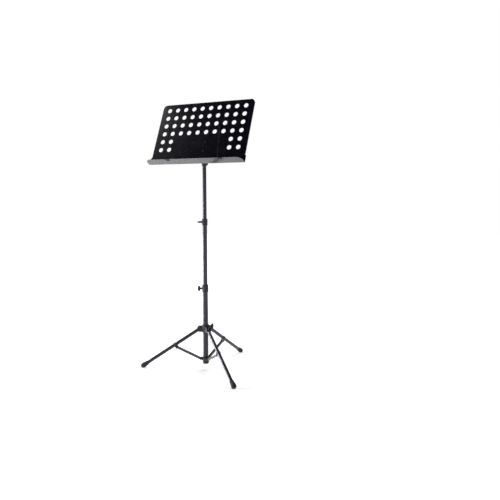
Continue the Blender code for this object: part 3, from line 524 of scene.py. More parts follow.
class Shader:
    """A material with its Principled shader, and one way to add any node."""

    def __init__(self, name, **constants):
        self.material = bpy.data.materials.new(name)
        self.material.use_nodes = True
        self.tree = self.material.node_tree
        self.surface = self.tree.nodes["Principled BSDF"]
        for socket, value in constants.items():
            self.surface.inputs[socket.replace("_", " ")].default_value = value

    def node(self, kind, settings=None, inputs=None, output=0):
        node = self.tree.nodes.new(kind)
        for key, value in (settings or {}).items():
            if key == "stops":
                self.set_stops(node.color_ramp, value)
            else:
                setattr(node, key, value)
        for key, value in (inputs or {}).items():
            self.feed(node.inputs[key], value)
        return Socket(self, node.outputs[output])

    def set_stops(self, ramp, stops):
        while len(ramp.elements) < len(stops):
            ramp.elements.new(1)
        for element, (place, value) in zip(ramp.elements, stops):
            element.position = place
            element.color = (value, value, value, 1)

    def feed(self, socket, value):
        if isinstance(value, Socket):
            self.tree.links.new(value.socket, socket)
        else:
            socket.default_value = value

    def place(self, stretch=(1, 1, 1)):
        """The point on the piece, in its own metres, scaled along each axis."""
        point = self.node("ShaderNodeTexCoord", output="Object")
        return self.node("ShaderNodeVectorMath", {"operation": "MULTIPLY"}, {0: point, 1: stretch})

    def noise(self, size, detail=2.0, stretch=(1, 1, 1)):
        """Noise whose grains are about the given size in metres."""
        settings = {"Scale": 1 / size, "Detail": detail, "Vector": self.place(stretch)}
        return self.node("ShaderNodeTexNoise", inputs=settings, output="Fac")

    def ramp(self, value, *stops):
        return self.node("ShaderNodeValToRGB", {"stops": stops}, {"Fac": value})

    def blend(self, factor, first, second):
        """One colour that turns into another where the factor rises."""
        ends = {0: factor, 6: (*first, 1), 7: (*second, 1)}
        return self.node("ShaderNodeMix", {"data_type": "RGBA"}, ends, 2)

    def bump(self, height, distance, strength=1.0):
        inputs = {"Height": height, "Distance": distance, "Strength": strength}
        return self.node("ShaderNodeBump", inputs=inputs)

    def set(self, **links):
        for socket, value in links.items():
            self.feed(self.surface.inputs[socket.replace("_", " ")], value)
        return self.material


def made_once(name, make):
    return bpy.data.materials.get(name) or make(name)


def make_powder_coat(name):
    """A satin coat on sheet steel, with the fine orange peel of baked powder and faint rubbed patches."""
    look = sizes("finishes")
    coat = Shader(name, IOR=1.5, Coat_Roughness=0.14, Coat_IOR=1.5)
    peel = coat.noise(0.0011, 1.5)
    grains = coat.noise(0.00035, 1.0)
    rubbed = coat.ramp(coat.noise(0.055, 5.0), (0.52, 0.0), (0.75, 1.0))
    return coat.set(
        Base_Color=coat.blend(rubbed * 0.30 + grains * 0.12, look.powder, look.powder_dust),
        Roughness=0.24 + rubbed * 0.07 + peel * 0.05,
        Coat_Weight=0.85 - rubbed * 0.20,
        Normal=coat.bump(peel * 0.8 + grains * 0.2, 0.00003, 0.3),
    )


def make_tube_paint(name):
    """Satin paint on drawn tube, with faint lines along it and light scuffs."""
    look = sizes("finishes")
    paint = Shader(name, IOR=1.55, Metallic=0.25)
    lines = paint.noise(0.0009, 2.0, (1, 1, 0.02))
    scuffs = paint.ramp(paint.noise(0.012, 6.0, (1, 1, 0.35)), (0.68, 0.0), (0.86, 1.0))
    peel = paint.noise(0.0007, 1.0)
    return paint.set(
        Base_Color=paint.blend(lines * 0.12 + scuffs * 0.30, look.tube, look.tube_rubbed),
        Roughness=0.23 + lines * 0.03 + scuffs * 0.08,
        Normal=paint.bump(peel, 0.00001, 0.3),
    )


def make_plastic(name):
    """Black moulded nylon with an etched, slightly mottled skin."""
    look = sizes("finishes")
    plastic = Shader(name, IOR=1.48)
    etched = plastic.noise(0.00030, 2.0)
    flow = plastic.ramp(plastic.noise(0.009, 4.0, (1, 1, 0.5)), (0.40, 0.0), (0.80, 1.0))
    return plastic.set(
        Base_Color=plastic.blend(flow * 0.55 + etched * 0.15, look.plastic, look.plastic_pale),
        Roughness=0.40 + etched * 0.12 + flow * 0.06,
        Normal=plastic.bump(etched, 0.00004, 0.8),
    )


def make_rubber(name):
    """Matt moulded rubber, speckled, with dust that gathers in soft patches."""
    look = sizes("finishes")
    rubber = Shader(name, IOR=1.46)
    grain = rubber.noise(0.0004, 3.0)
    dust = rubber.ramp(rubber.noise(0.007, 5.0), (0.50, 0.0), (0.85, 1.0))
    return rubber.set(
        Base_Color=rubber.blend(dust * 0.5 + grain * 0.1, look.rubber, look.rubber_dust),
        Roughness=0.62 + dust * 0.15 + grain * 0.08,
        Normal=rubber.bump(grain, 0.00006, 0.8),
    )


def make_zinc(name):
    """Bright zinc plate with fine turning marks and dull patches."""
    look = sizes("finishes")
    zinc = Shader(name, Metallic=1.0)
    marks = zinc.noise(0.00025, 2.0, (0.2, 0.2, 3))
    dull = zinc.ramp(zinc.noise(0.004, 3.0), (0.45, 0.0), (0.70, 1.0))
    return zinc.set(
        Base_Color=zinc.blend(dull, look.zinc, look.zinc_dull),
        Roughness=0.24 + dull * 0.18 + marks * 0.08,
        Normal=zinc.bump(marks, 0.00002, 0.5),
    )


def make_blackened(name):
    """Blackened steel wire and pressings, rubbed to bare metal here and there."""
    look = sizes("finishes")
    steel = Shader(name, IOR=1.5)
    grain = steel.noise(0.0005, 3.0)
    bare = steel.ramp(steel.noise(0.0035, 6.0), (0.62, 0.0), (0.80, 1.0))
    return steel.set(
        Base_Color=steel.blend(bare * 0.7 + grain * 0.1, look.blackened, look.blackened_bare),
        Metallic=0.35 + bare * 0.5,
        Roughness=0.34 + grain * 0.14,
        Normal=steel.bump(grain, 0.00004, 0.6),
    )


def powder_coat():
    return made_once("satin_powder_coat", make_powder_coat)


def tube_paint():
    return made_once("satin_tube_paint", make_tube_paint)


def plastic():
    return made_once("moulded_nylon", make_plastic)


def rubber():
    return made_once("moulded_rubber", make_rubber)


def zinc():
    return made_once("zinc_plate", make_zinc)


def blackened():
    return made_once("blackened_steel", make_blackened)


# Shared pieces.


def rivet_shape(grip):
    """A rivet along Y whose two domed heads stand just off the grip between them."""
    tripod = sizes("tripod")
    reach = grip / 2 + sizes("pole").gap
    head = 2 * tripod.pin_radius
    dome = []
    for step in range(9):
        turn = math.pi / 2 * step / 8
        dome.append((head * math.sin(turn), -reach - 0.0002 - (tripod.pin_rise - 0.0002) * math.cos(turn)))
    half = dome + [(head, -reach), (tripod.pin_radius, -reach)]
    return turned(half + [(radius, -height) for radius, height in reversed(half)], SMALL_ROUND, ALONG_Y)


def wing_outline(depth, span, facets):
    points = []
    for index in range(facets):
        turn = 2 * math.pi * index / facets
        points.append((depth / 2 + depth / 2 * math.cos(turn), span / 2 * math.sin(turn)))
    return points


def wing_knob_mesh(start, screw_end, screw_radius):
    """A wing with a sunk panel on each face, on a waisted neck, moulded round its screw, along +X."""
    pole = sizes("pole")
    knob = sizes("knobs")
    neck_end = start + knob.neck_length
    seat = Matrix.Translation((neck_end - pole.gap, 0, 0))
    half = knob.wing_thickness / 2
    outline = wing_outline(knob.wing_depth, knob.wing_span, ROUND)
    wing = moved(prism(outline, -half, half, across_y, half * 0.55, 4), seat)
    neck_radius = max(knob.neck_radius, screw_radius + 2 * pole.play + pole.tube_wall)
    waist = neck_radius - pole.play
    neck = [(0, start), (neck_radius, start), (neck_radius, start + knob.neck_length / 3)]
    neck += [(waist, neck_end - knob.neck_length / 3), (waist, neck_end + knob.wing_depth / 2)]
    neck += [(0, neck_end + knob.wing_depth / 2)]
    bore = rod(screw_radius + pole.gap, start - 2 * pole.gap, screw_end + pole.gap, SMALL_ROUND, ALONG_X)
    sunk = []
    rim = 0.0022
    for sign in (1, -1):
        span = (knob.wing_span - 2 * rim) / 2 - neck_radius * 0.55
        panel = wing_outline(knob.wing_depth - 2 * rim, span, SMALL_ROUND)
        for end in (1, -1):
            centre = end * (knob.wing_span / 4 + neck_radius * 0.30)
            recess = prism(panel, half - 0.0006, half + 0.001, across_y)
            turn = Matrix.Rotation(0 if sign > 0 else math.pi, 4, "X")
            sunk.append(moved(recess, seat @ Matrix.Translation((rim, 0, centre)) @ turn))
    shank = turned(rounded(neck, 0.0005), SMALL_ROUND, ALONG_X)
    return carved(wing, [shank], [bore] + sunk)


def screw_shape(radius, tip, end):
    """A threaded screw along +X with a chamfered tip."""
    pitch = sizes("knobs").thread_pitch
    chamfer = radius / 3
    profile = [(0, tip), (radius - chamfer - pitch / 2, tip)]
    profile += threaded(radius, tip + chamfer, end - chamfer, pitch)
    profile += [(radius - chamfer - pitch / 2, end), (0, end)]
    return turned(profile, SMALL_ROUND, ALONG_X)


def pointing(joint):
    """The place of a knob: on its joint's origin, with X along the joint's axis."""
    axis = joint_axis(joint)
    turn = math.atan2(axis.y, axis.x)
    return Matrix.Translation(joint_at(joint)) @ Matrix.Rotation(turn, 4, "Z")


def screw_and_knob(prefix, body, tip, boss_end, roll=0.0):
    """A clamp screw and the wing knob moulded round its end."""
    pole = sizes("pole")
    knob = sizes("knobs")
    place = pointing(f"{body}_turn") @ Matrix.Rotation(roll, 4, "X")
    start = boss_end + pole.play
    end = start + knob.neck_length + knob.wing_depth / 2
    screw = screw_shape(knob.screw_radius, tip, end)
    finished(f"{prefix}_screw", body, zinc(), screw, place)
    mesh = wing_knob_mesh(start, end, knob.screw_radius)
    finished(f"{prefix}_knob", body, plastic(), mesh, place)


def boss_tools(height, azimuth, inner, outer):
    """A boss for a clamp screw on a ring-shaped piece, and its bore."""
    pole = sizes("pole")
    knob = sizes("knobs")
    way = Matrix.Translation((0, 0, height)) @ Matrix.Rotation(azimuth, 4, "Z") @ ALONG_X
    end = outer + knob.boss_length
    start = inner + (outer - inner) / 4
    profile = [(0, start), (knob.boss_radius, start)]
    profile += [(knob.boss_radius, outer + MOULDED_EDGE), (knob.boss_radius - SOFT_EDGE, end - SOFT_EDGE)]
    profile += [(knob.boss_radius - 0.0008, end), (0, end)]
    bore = rod(knob.screw_radius + pole.gap, inner - 2 * pole.play, end + pole.gap, SMALL_ROUND, way)
    return turned(profile, 32, way), bore


def azimuth_of(joint):
    axis = joint_axis(joint)
    return math.atan2(axis.y, axis.x)


def ears(azimuth, height, start, pivot, radius, slot, thickness):
    """Two lugs on a ring, and the pin hole through both."""
    pole = sizes("pole")
    place = Matrix.Translation((0, 0, height)) @ Matrix.Rotation(azimuth, 4, "Z")
    outline = [(start, -radius)] + arc((pivot, 0), radius, -90, 90, 24) + [(start, radius)]
    lugs = []
    for sign in (1, -1):
        near = sign * slot / 2
        far = sign * (slot / 2 + thickness)
        lugs.append(moved(prism(outline, near, far, across_y, 0.0005, 2), place))
    reach = slot / 2 + thickness + pole.gap
    hole = rod(sizes("tripod").pin_radius + pole.gap, -reach, reach, SMALL_ROUND, ALONG_Y)
    return lugs, moved(hole, place @ Matrix.Translation((pivot, 0, 0)))


def ear_start(inner, outer, slot, thickness):
    past_bore = math.sqrt(max(0, inner**2 - (slot / 2) ** 2))
    within_ring = math.sqrt(max(0, outer**2 - (slot / 2 + thickness) ** 2))
    return (past_bore + within_ring) / 2


def leg_azimuth(side):
    place = joint_at(f"{side}_leg_fold")
    return math.atan2(place.y - AXIS.y, place.x - AXIS.x)


def side_place(side):
    """The upright plane of a leg: the pole's axis, with X out along the leg."""
    return POLE @ Matrix.Rotation(leg_azimuth(side), 4, "Z")


def leg_slope():
    """How far a leg slopes down from level when the stand is open."""
    tripod = sizes("tripod")
    pivot = joint_at("front_leg_fold")
    joint = joint_at("front_strut_fold")
    across = math.hypot(joint.x - pivot.x, joint.y - pivot.y)
    down = pivot.z - joint.z
    return math.atan2(down, across) - math.asin(tripod.strut_below_leg / math.hypot(across, down))


def leg_place(side):
    """A leg's pivot, with X down along the leg."""
    reach = Matrix.Translation((LEG_PIVOT_RADIUS, 0, LEG_PIVOT.z))
    return side_place(side) @ reach @ Matrix.Rotation(leg_slope(), 4, "Y")


def leg_reach():
    """From a leg's pivot along the leg to the floor, and to the middle of its foot."""
    tripod = sizes("tripod")
    to_floor = LEG_PIVOT.z / math.sin(leg_slope())
    return to_floor, to_floor - (tripod.foot_radius - tripod.foot_sink) / math.sin(leg_slope())


# The pole.


def tube(node, body, radius, screw_joint=None):
    """One of the pole's tubes, with the clearance hole for its clamp's screw."""
    pole = sizes("pole")
    bottom, top = heights(node)
    inner = radius - pole.tube_wall
    shape = turned(tube_profile(inner, radius, bottom, top, pole.tube_wall / 3), 64)
    if screw_joint:
        height = joint_at(screw_joint).z
        way = Matrix.Translation((0, 0, height)) @ Matrix.Rotation(azimuth_of(screw_joint), 4, "Z") @ ALONG_X
        clearance = sizes("knobs").screw_radius + pole.play
        hole = rod(clearance, inner / 2, radius + pole.tube_wall, SMALL_ROUND, way)
        shape = carved(shape, cut=[hole])
    finished(node, body, tube_paint(), shape)


def tube_plug(node, body, radius):
    """The plastic plug in the lower end of a sliding tube."""
    pole = sizes("pole")
    bottom, top = heights(node)
    flange = bottom + 0.003
    shank = radius - pole.tube_wall - pole.gap
    profile = [(0, bottom), (radius - pole.play, bottom), (radius, bottom + pole.play), (radius, flange)]
    profile += [(shank, flange), (shank, top), (0, top)]
    finished(node, body, plastic(), turned(rounded(profile, SOFT_EDGE)))


def clamp(prefix, body, tube_radius, sliding_radius, roll):
    """The collar on a tube's top end, its boss, screw and knob."""
    pole = sizes("pole")
    bottom, top = heights(f"{prefix}_clamp")
    bore = tube_radius + pole.gap
    outer = bore + pole.clamp_wall
    mouth = sliding_radius + pole.gap
    lip = top - pole.clamp_lip
    edge = pole.clamp_wall / 2
    band = 0.0055
    low_band = grooved(outer, bottom + edge, bottom + band, 1, pole.groove, GROOVE_WIDTH)
    high_band = grooved(outer, top - band, top - edge, 1, pole.groove, GROOVE_WIDTH)
    profile = [(bore, bottom), (outer - edge, bottom)] + low_band + high_band
    profile += [(outer - edge, top), (mouth + pole.gap, top), (mouth, top - pole.gap)]
    profile += [(mouth, lip), (bore, lip)]
    joint = f"{prefix}_clamp_knob_turn"
    azimuth = azimuth_of(joint)
    boss, bore_tool = boss_tools(joint_at(joint).z, azimuth, bore, outer)
    ribs = []
    for turn in (-1, 1):
        way = Matrix.Rotation(azimuth + turn * math.radians(38), 4, "Z")
        rib = prism(
            rounded([(outer - edge, bottom + band), (outer + 0.0007, bottom + band + 0.001),
                     (outer + 0.0007, top - band - 0.001), (outer - edge, top - band)],
                    MOULDED_EDGE, closed=True),
            -0.0008, 0.0008, across_y, THIN_EDGE, 2,
        )
        ribs.append(moved(rib, way))
    mesh = carved(turned(profile), [boss] + ribs, [bore_tool])
    finished(f"{prefix}_clamp", body, plastic(), mesh)
    tip = sliding_radius + pole.gap
    screw_and_knob(f"{prefix}_clamp", f"{prefix}_clamp_knob", tip, outer + sizes("knobs").boss_length, roll)


def head_socket():
    """The socket on the top tube, with a ribbed skirt and the tongue that the desk tilts on."""
    pole = sizes("pole")
    bottom = heights("head_socket")[0]
    hinge = TILT_PLACE.z
    seat = bottom + pole.socket_depth
    end = seat + 0.006
    bore = TOP_RADIUS + pole.gap
    outer = bore + pole.socket_wall
    edge = pole.socket_wall / 3
    outside = grooved(outer, bottom + edge, bottom + 0.008, 1, pole.groove, GROOVE_WIDTH)
    outside += grooved(outer, end - 0.008, end - edge, 1, pole.groove, GROOVE_WIDTH)
    profile = [(0, seat), (bore, seat), (bore, bottom), (outer - edge, bottom)] + outside
    profile += [(outer - edge, end), (0, end)]
    root = (seat + end) / 2 - hinge
    outline = [(pole.tongue_radius, root)] + arc((0, 0), pole.tongue_radius, 0, 180, 24)
    outline += [(-pole.tongue_radius, root)]
    half = pole.tongue_width / 2
    up = Matrix.Translation((0, 0, hinge))
    tongue = moved(prism(outline, -half, half, across_x, MOULDED_EDGE, 3), up)
    bolt = sizes("knobs").bolt_radius + pole.gap
    hole = moved(rod(bolt, -2 * half, 2 * half, SMALL_ROUND, ALONG_X), up)
    skirt = turned(rounded([(0, end - 0.001), (outer - edge, end - 0.001), (outer - 2 * edge, end + 0.0028),
                            (pole.tongue_radius * 0.72, end + 0.0048), (0, end + 0.0048)], 0.0012))
    joint = "head_knob_turn"
    boss, bore_tool = boss_tools(joint_at(joint).z, azimuth_of(joint), bore, outer)
    mesh = carved(turned(profile), [skirt, tongue, boss], [hole, bore_tool])
    finished("head_socket", "head", plastic(), mesh)
    screw_and_knob("head", "head_knob", TOP_RADIUS + pole.gap, outer + sizes("knobs").boss_length)


# The tripod.


def base_cap():
    """The cap on the pole's lower end, with the notched ears that the strut pins hang in."""
    pole = sizes("pole")
    tripod = sizes("tripod")
    bottom, top = heights("base_cap")
    bore = LOWER_RADIUS + pole.gap
    outer = bore + tripod.cap_wall
    floor = bottom + tripod.cap_floor
    rounding = outer / 2
    profile = [(0, bottom)] + arc((outer - rounding, bottom + rounding), rounding, -90, 0, 12)
    profile += grooved(outer, bottom + rounding + 0.001, top - MOULDED_EDGE, 3, pole.groove, 0.0005)
    profile += [(outer - MOULDED_EDGE, top), (bore, top), (bore, floor), (0, floor)]
    slot = tripod.strut_width + 2 * pole.gap
    lugs = []
    cuts = []
    reach = slot / 2 + tripod.cap_ear_thickness + pole.gap
    for side in SIDES:
        pin = middle(f"{side}_strut_bottom_pin")
        pivot = math.hypot(pin.x - AXIS.x, pin.y - AXIS.y)
        start = ear_start(bore, outer, slot, tripod.cap_ear_thickness)
        pair, hole = ears(
            leg_azimuth(side), pin.z, start, pivot, tripod.cap_ear_radius, slot, tripod.cap_ear_thickness
        )
        lugs += pair
        inner = pivot - tripod.pin_radius - pole.gap - tripod.notch_drift
        edge = pivot + tripod.pin_radius + pole.gap
        notch = block((inner, -reach, -tripod.cap_ear_radius - pole.gap), (edge, reach, 0))
        place = Matrix.Translation((0, 0, pin.z)) @ Matrix.Rotation(leg_azimuth(side), 4, "Z")
        cuts += [hole, moved(notch, place)]
    finished("base_cap", "lower_pole", plastic(), carved(turned(profile), lugs, cuts))


def leg_hub():
    """The sliding hub: a ring with three pairs of ears, a boss, a screw and a knob."""
    pole = sizes("pole")
    tripod = sizes("tripod")
    bottom, top = heights("leg_hub")
    bore = LOWER_RADIUS + pole.play
    outer = bore + tripod.hub_wall
    edge = tripod.hub_wall / 4
    profile = [(bore, bottom + pole.gap), (bore + pole.gap, bottom), (outer - edge, bottom)]
    profile += [(outer, bottom + edge), (outer, top - edge), (outer - edge, top)]
    profile += [(bore + pole.gap, top), (bore, top - pole.gap)]
    slot = 2 * (tripod.leg_radius + pole.gap)
    lugs = []
    cuts = []
    for side in SIDES:
        start = ear_start(bore, outer, slot, tripod.hub_ear_thickness)
        pair, hole = ears(
            leg_azimuth(side),
            LEG_PIVOT.z,
            start,
            LEG_PIVOT_RADIUS,
            tripod.hub_ear_radius,
            slot,
            tripod.hub_ear_thickness,
        )
        lugs += pair
        cuts.append(hole)
    joint = "hub_knob_turn"
    boss, bore_tool = boss_tools(joint_at(joint).z, azimuth_of(joint), bore, outer)
    mesh = carved(turned(profile, 64), lugs + [boss], cuts + [bore_tool])
    finished("leg_hub", "leg_hub", plastic(), mesh)
    screw_and_knob("hub", "hub_knob", LOWER_RADIUS + pole.gap, outer + sizes("knobs").boss_length)


def foot_mesh():
    """A rubber boot with ringed collar over the leg's end, its sole cut flat on the floor."""
    pole = sizes("pole")
    tripod = sizes("tripod")
    to_floor, centre = leg_reach()
    bore = tripod.leg_radius + pole.gap
    mouth = centre + tripod.foot_radius - tripod.foot_length
    collar = bore + tripod.foot_wall
    shoulder = mouth + tripod.foot_length / 4
    profile = [(0, centre + pole.gap), (bore, centre + pole.gap)]
    profile += [(bore, mouth + SOFT_EDGE), (bore + SOFT_EDGE, mouth), (collar - MOULDED_EDGE, mouth)]
    profile += grooved(collar, mouth + MOULDED_EDGE, shoulder, 2, 0.0005, 0.0006)
    ball = tripod.foot_radius - pole.gap
    profile += [(ball, centre - tripod.foot_length / 8)]
    profile += arc((0, centre), ball, 0, 84, 16) + [(0, centre + ball)]
    shape = turned(profile, 64, ALONG_X)
    slope = leg_slope()
    down = Vector((math.sin(slope), 0, -math.cos(slope)))
    parts = shape.verts[:] + shape.edges[:] + shape.faces[:]
    bmesh.ops.bisect_plane(shape, geom=parts, plane_co=(to_floor, 0, 0), plane_no=down, clear_outer=True)
    bmesh.ops.holes_fill(shape, edges=[edge for edge in shape.edges if edge.is_boundary], sides=0)
    bmesh.ops.recalc_face_normals(shape, faces=shape.faces)
    return shape


def saddle_mesh(side):
    """The pressed saddle over the leg with two ears below it for the strut's pin."""
    pole = sizes("pole")
    tripod = sizes("tripod")
    slot = tripod.strut_width / 2 + pole.gap
    outside = slot + tripod.bracket_wall
    inner = tripod.leg_radius + pole.gap
    outer = inner + tripod.bracket_wall
    low = -(tripod.strut_below_leg + tripod.strut_width / 2)
    inner_turn = math.degrees(math.asin(slot / inner))
    outer_turn = math.degrees(math.asin(min(0.95, outside / outer)))
    outline = [(outside, low)] + arc((0, 0), outer, -90 + outer_turn, 270 - outer_turn, 40)
    outline += [(-outside, low), (-slot, low)] + arc((0, 0), inner, 270 - inner_turn, -90 + inner_turn, 40)
    outline += [(slot, low)]
    along = joint_along_leg()
    start = along - tripod.bracket_length / 2
    shape = prism(outline, start, start + tripod.bracket_length, across_x, THIN_EDGE, 2)
    hole = rod(tripod.pin_radius + pole.gap, -tripod.strut_width, tripod.strut_width, SMALL_ROUND, ALONG_Y)
    return carved(shape, cut=[moved(hole, Matrix.Translation((along, 0, -tripod.strut_below_leg)))])


def joint_along_leg():
    """How far along the leg the strut's joint is."""
    joint = joint_at("front_strut_fold")
    pivot = joint_at("front_leg_fold")
    apart = (joint - pivot).length
    return math.sqrt(apart**2 - sizes("tripod").strut_below_leg ** 2)


def leg(side):
    """A leg with its foot, its saddle and the pins at its two joints."""
    pole = sizes("pole")
    tripod = sizes("tripod")
    body = f"{side}_leg"
    place = leg_place(side)
    centre = leg_reach()[1]
    inner = tripod.leg_radius - pole.tube_wall
    wall = tube_profile(inner, tripod.leg_radius, -tripod.leg_butt, centre, pole.tube_wall / 3)
    reach = tripod.leg_radius + pole.gap + tripod.hub_ear_thickness
    hole = rod(tripod.pin_radius + pole.gap, -reach, reach, SMALL_ROUND, ALONG_Y)
    leg_tube = carved(turned(wall, 56), cut=[hole])
    finished(body, body, tube_paint(), leg_tube, place @ ALONG_X, own_axes=True)
    finished(f"{side}_foot", body, rubber(), foot_mesh(), place)
    finished(f"{side}_strut_bracket", body, blackened(), saddle_mesh(side), place)
    joint = place @ Matrix.Translation((joint_along_leg(), 0, -tripod.strut_below_leg))
    top_pin = rivet_shape(tripod.strut_width + 2 * pole.gap + 2 * tripod.bracket_wall)
    finished(f"{side}_strut_top_pin", body, blackened(), top_pin, joint)
    pin_place = side_place(side) @ Matrix.Translation((LEG_PIVOT_RADIUS, 0, LEG_PIVOT.z))
    finished(f"{side}_leg_pin", "leg_hub", blackened(), rivet_shape(2 * reach), pin_place)


def strut(side):
    """A pressed channel from the leg's saddle down to the base cap, and the pin at its foot."""
    pole = sizes("pole")
    tripod = sizes("tripod")
    body = f"{side}_strut"
    top = joint_at(f"{side}_strut_fold")
    foot = middle(f"{side}_strut_bottom_pin")
    across = math.hypot(foot.x - AXIS.x, foot.y - AXIS.y) - math.hypot(top.x - AXIS.x, top.y - AXIS.y)
    drop = foot.z - top.z
    long = math.hypot(across, drop)
    half = tripod.strut_width / 2
    lean = Matrix.Rotation(-math.atan2(drop, across), 4, "Y")
    turn = Matrix.Rotation(leg_azimuth(side), 4, "Z")
    place = Matrix.Translation(top) @ turn @ lean
    outline = arc((0, 0), half, 90, 270, 20) + arc((long, 0), half, -90, 90, 20)
    shape = prism(outline, -half, half, across_y, 0.0007, 3)
    inside = half - tripod.strut_wall
    channel = block((-2 * half, -inside, -2 * half), (long + 2 * half, inside, inside))
    cuts = [channel]
    for at in (0, long):
        hole = rod(tripod.pin_radius + pole.gap, -2 * half, 2 * half, SMALL_ROUND, ALONG_Y)
        cuts.append(moved(hole, Matrix.Translation((at, 0, 0))))
    finished(body, body, powder_coat(), carved(shape, cut=cuts), place)
    pin = rivet_shape(tripod.strut_width + 2 * pole.gap + 2 * tripod.cap_ear_thickness)
    pin_place = place @ Matrix.Translation((long, 0, 0))
    finished(f"{side}_strut_bottom_pin", body, blackened(), pin, pin_place)


# The desk.


def tilt_place():
    return Matrix.Translation(TILT_PLACE) @ Matrix.Rotation(-DESK_TILT, 4, "X")


def desk_place():
    """The middle of the tray's fold, with Z up the panel and -Y out of its face."""
    desk = sizes("desk")
    return tilt_place() @ Matrix.Translation((0, -desk.standoff, -desk.bracket_up))


def tilt_bolt():
    """The bolt through the tongue and the bracket's ears, its washer and its wing knob."""
    pole = sizes("pole")
    knob = sizes("knobs")
    desk = sizes("desk")
    radius = knob.bolt_radius
    ear_face = pole.tongue_width / 2 + pole.gap + desk.bracket_sheet
    head_start = -(ear_face + pole.gap)
    washer = ear_face + pole.gap
    washer_end = washer + desk.sheet
    start = washer_end + pole.play
    end = start + knob.neck_length + knob.wing_depth / 2
    head = max(knob.bolt_head, radius + desk.bracket_sheet)
    profile = []
    for step in range(9):
        turn = math.pi / 2 * step / 8
        profile.append((head * math.sin(turn), head_start - 0.0006 - (radius - 0.0006) * math.cos(turn)))
    profile += [(head, head_start), (radius, head_start), (radius, washer_end)]
    profile += threaded(radius, washer_end, end - radius / 4, knob.thread_pitch)
    profile += [(0, end)]
    place = tilt_place()
    finished("tilt_bolt", "desk", zinc(), turned(profile, 40, ALONG_X), place)
    ring = tube_profile(radius + pole.gap, 2 * radius, washer, washer_end, desk.sheet / 4)
    finished("tilt_washer", "desk", zinc(), turned(ring, 40, ALONG_X), place)
    mesh = wing_knob_mesh(start, end, radius)
    finished("tilt_knob", "tilt_knob", plastic(), mesh, place)


def rivet_places():
    """The four rivets, across and up from the bracket's centre."""
    desk = sizes("desk")
    half_across = desk.rivets_across / 2
    half_up = desk.rivets_up / 2
    return [(x, z) for z in (half_up, -half_up) for x in (-half_across, half_across)]


def desk_bracket():
    """The pressed bracket: a plate with rounded corners and two ears with filleted roots."""
    pole = sizes("pole")
    tripod = sizes("tripod")
    desk = sizes("desk")
    face = -desk.standoff + desk.sheet + pole.gap
    wide = desk.plate_width / 2
    tall = desk.plate_height / 2
    sheet = desk.bracket_sheet
    corners = rounded([(-wide, -tall), (wide, -tall), (wide, tall), (-wide, tall)], 0.008, 8, closed=True)
    plate = prism(corners, face, face + sheet, across_y, SOFT_EDGE, 2)
    root = face + sheet / 2
    end = tall - desk.ear_inset
    outline = [(root, -end)] + arc((0, 0), desk.ear_radius, -60, 60, 24) + [(root, end)]
    ears_and_fillets = []
    for sign in (1, -1):
        near = sign * (pole.tongue_width / 2 + pole.gap)
        far = near + sign * sheet
        ears_and_fillets.append(prism(outline, near, far, across_x, THIN_EDGE, 2))
        bend = [(far - sign * 0.0004, face + sheet - 0.0004), (far + sign * 0.002, face + sheet - 0.0004)]
        bend += [(far + sign * 0.002, face + sheet)]
        bend += arc((far + sign * 0.002, face + sheet + 0.002), 0.002, -90, -90 - sign * 90, 6)[1:]
        bend += [(far - sign * 0.0004, face + sheet + 0.002)]
        ears_and_fillets.append(prism(bend, -end + 0.003, end - 0.003, lambda a, b, depth: (a, b, depth)))
    bolt = sizes("knobs").bolt_radius + pole.gap
    cuts = [rod(bolt, -pole.tongue_width, pole.tongue_width, SMALL_ROUND, ALONG_X)]
    for across, up in rivet_places():
        hole = rod(tripod.pin_radius + pole.gap, -desk.standoff, face + 2 * sheet, SMALL_ROUND, ALONG_Y)
        cuts.append(moved(hole, Matrix.Translation((across, 0, up))))
    mesh = carved(plate, ears_and_fillets, cuts)
    finished("desk_bracket", "desk", powder_coat(), mesh, tilt_place())
    grip = desk.sheet + pole.gap + sheet
    for index, (across, up) in enumerate(rivet_places()):
        place = desk_place() @ Matrix.Translation((across, grip / 2, desk.bracket_up + up))
        node = f"desk_rivet_{index + 1}"
        finished(node, "desk", blackened(), rivet_shape(grip), place)


def perforation():
    """Hole centres across and up the panel; the lower rows stay blank in front of the bracket."""
    desk = sizes("desk")
    columns = int((desk.panel_width - 2 * desk.side_margin) / desk.pitch_across + 1e-6) + 1
    rows = int((desk.panel_height - desk.top_margin - desk.bottom_margin) / desk.pitch_up + 1e-6) + 1
    blank_top = desk.bracket_up + desk.plate_height / 2 + desk.hole_radius
    centres = []
    for row in range(rows):
        up = desk.panel_height - desk.top_margin - row * desk.pitch_up
        for column in range(columns):
            across = (column - (columns - 1) / 2) * desk.pitch_across
            if up > blank_top or abs(across) > desk.blank_width / 2:
                centres.append((across, up))
    return centres


def panel_border(inset):
    """The panel's outer edge above the tray's flange, from right to left, drawn in by an inset."""
    desk = sizes("desk")
    half = desk.panel_width / 2 - inset
    centre_x = desk.panel_width / 2 - desk.panel_corner
    centre_z = desk.panel_height - desk.panel_corner
    radius = desk.panel_corner - inset
    foot = desk.tray_flange + 2 * sizes("pole").play
    border = [(half, foot)] + arc((centre_x, centre_z), radius, 0, 90, 16)
    border += arc((-centre_x, centre_z), radius, 90, 180, 16) + [(-half, foot)]
    return border


def ring_edges(shape, points):
    verts = [shape.verts.new((x, 0, z)) for x, z in points]
    edges = [shape.edges.new((verts[i], verts[(i + 1) % len(verts)])) for i in range(len(verts))]
    return verts, edges


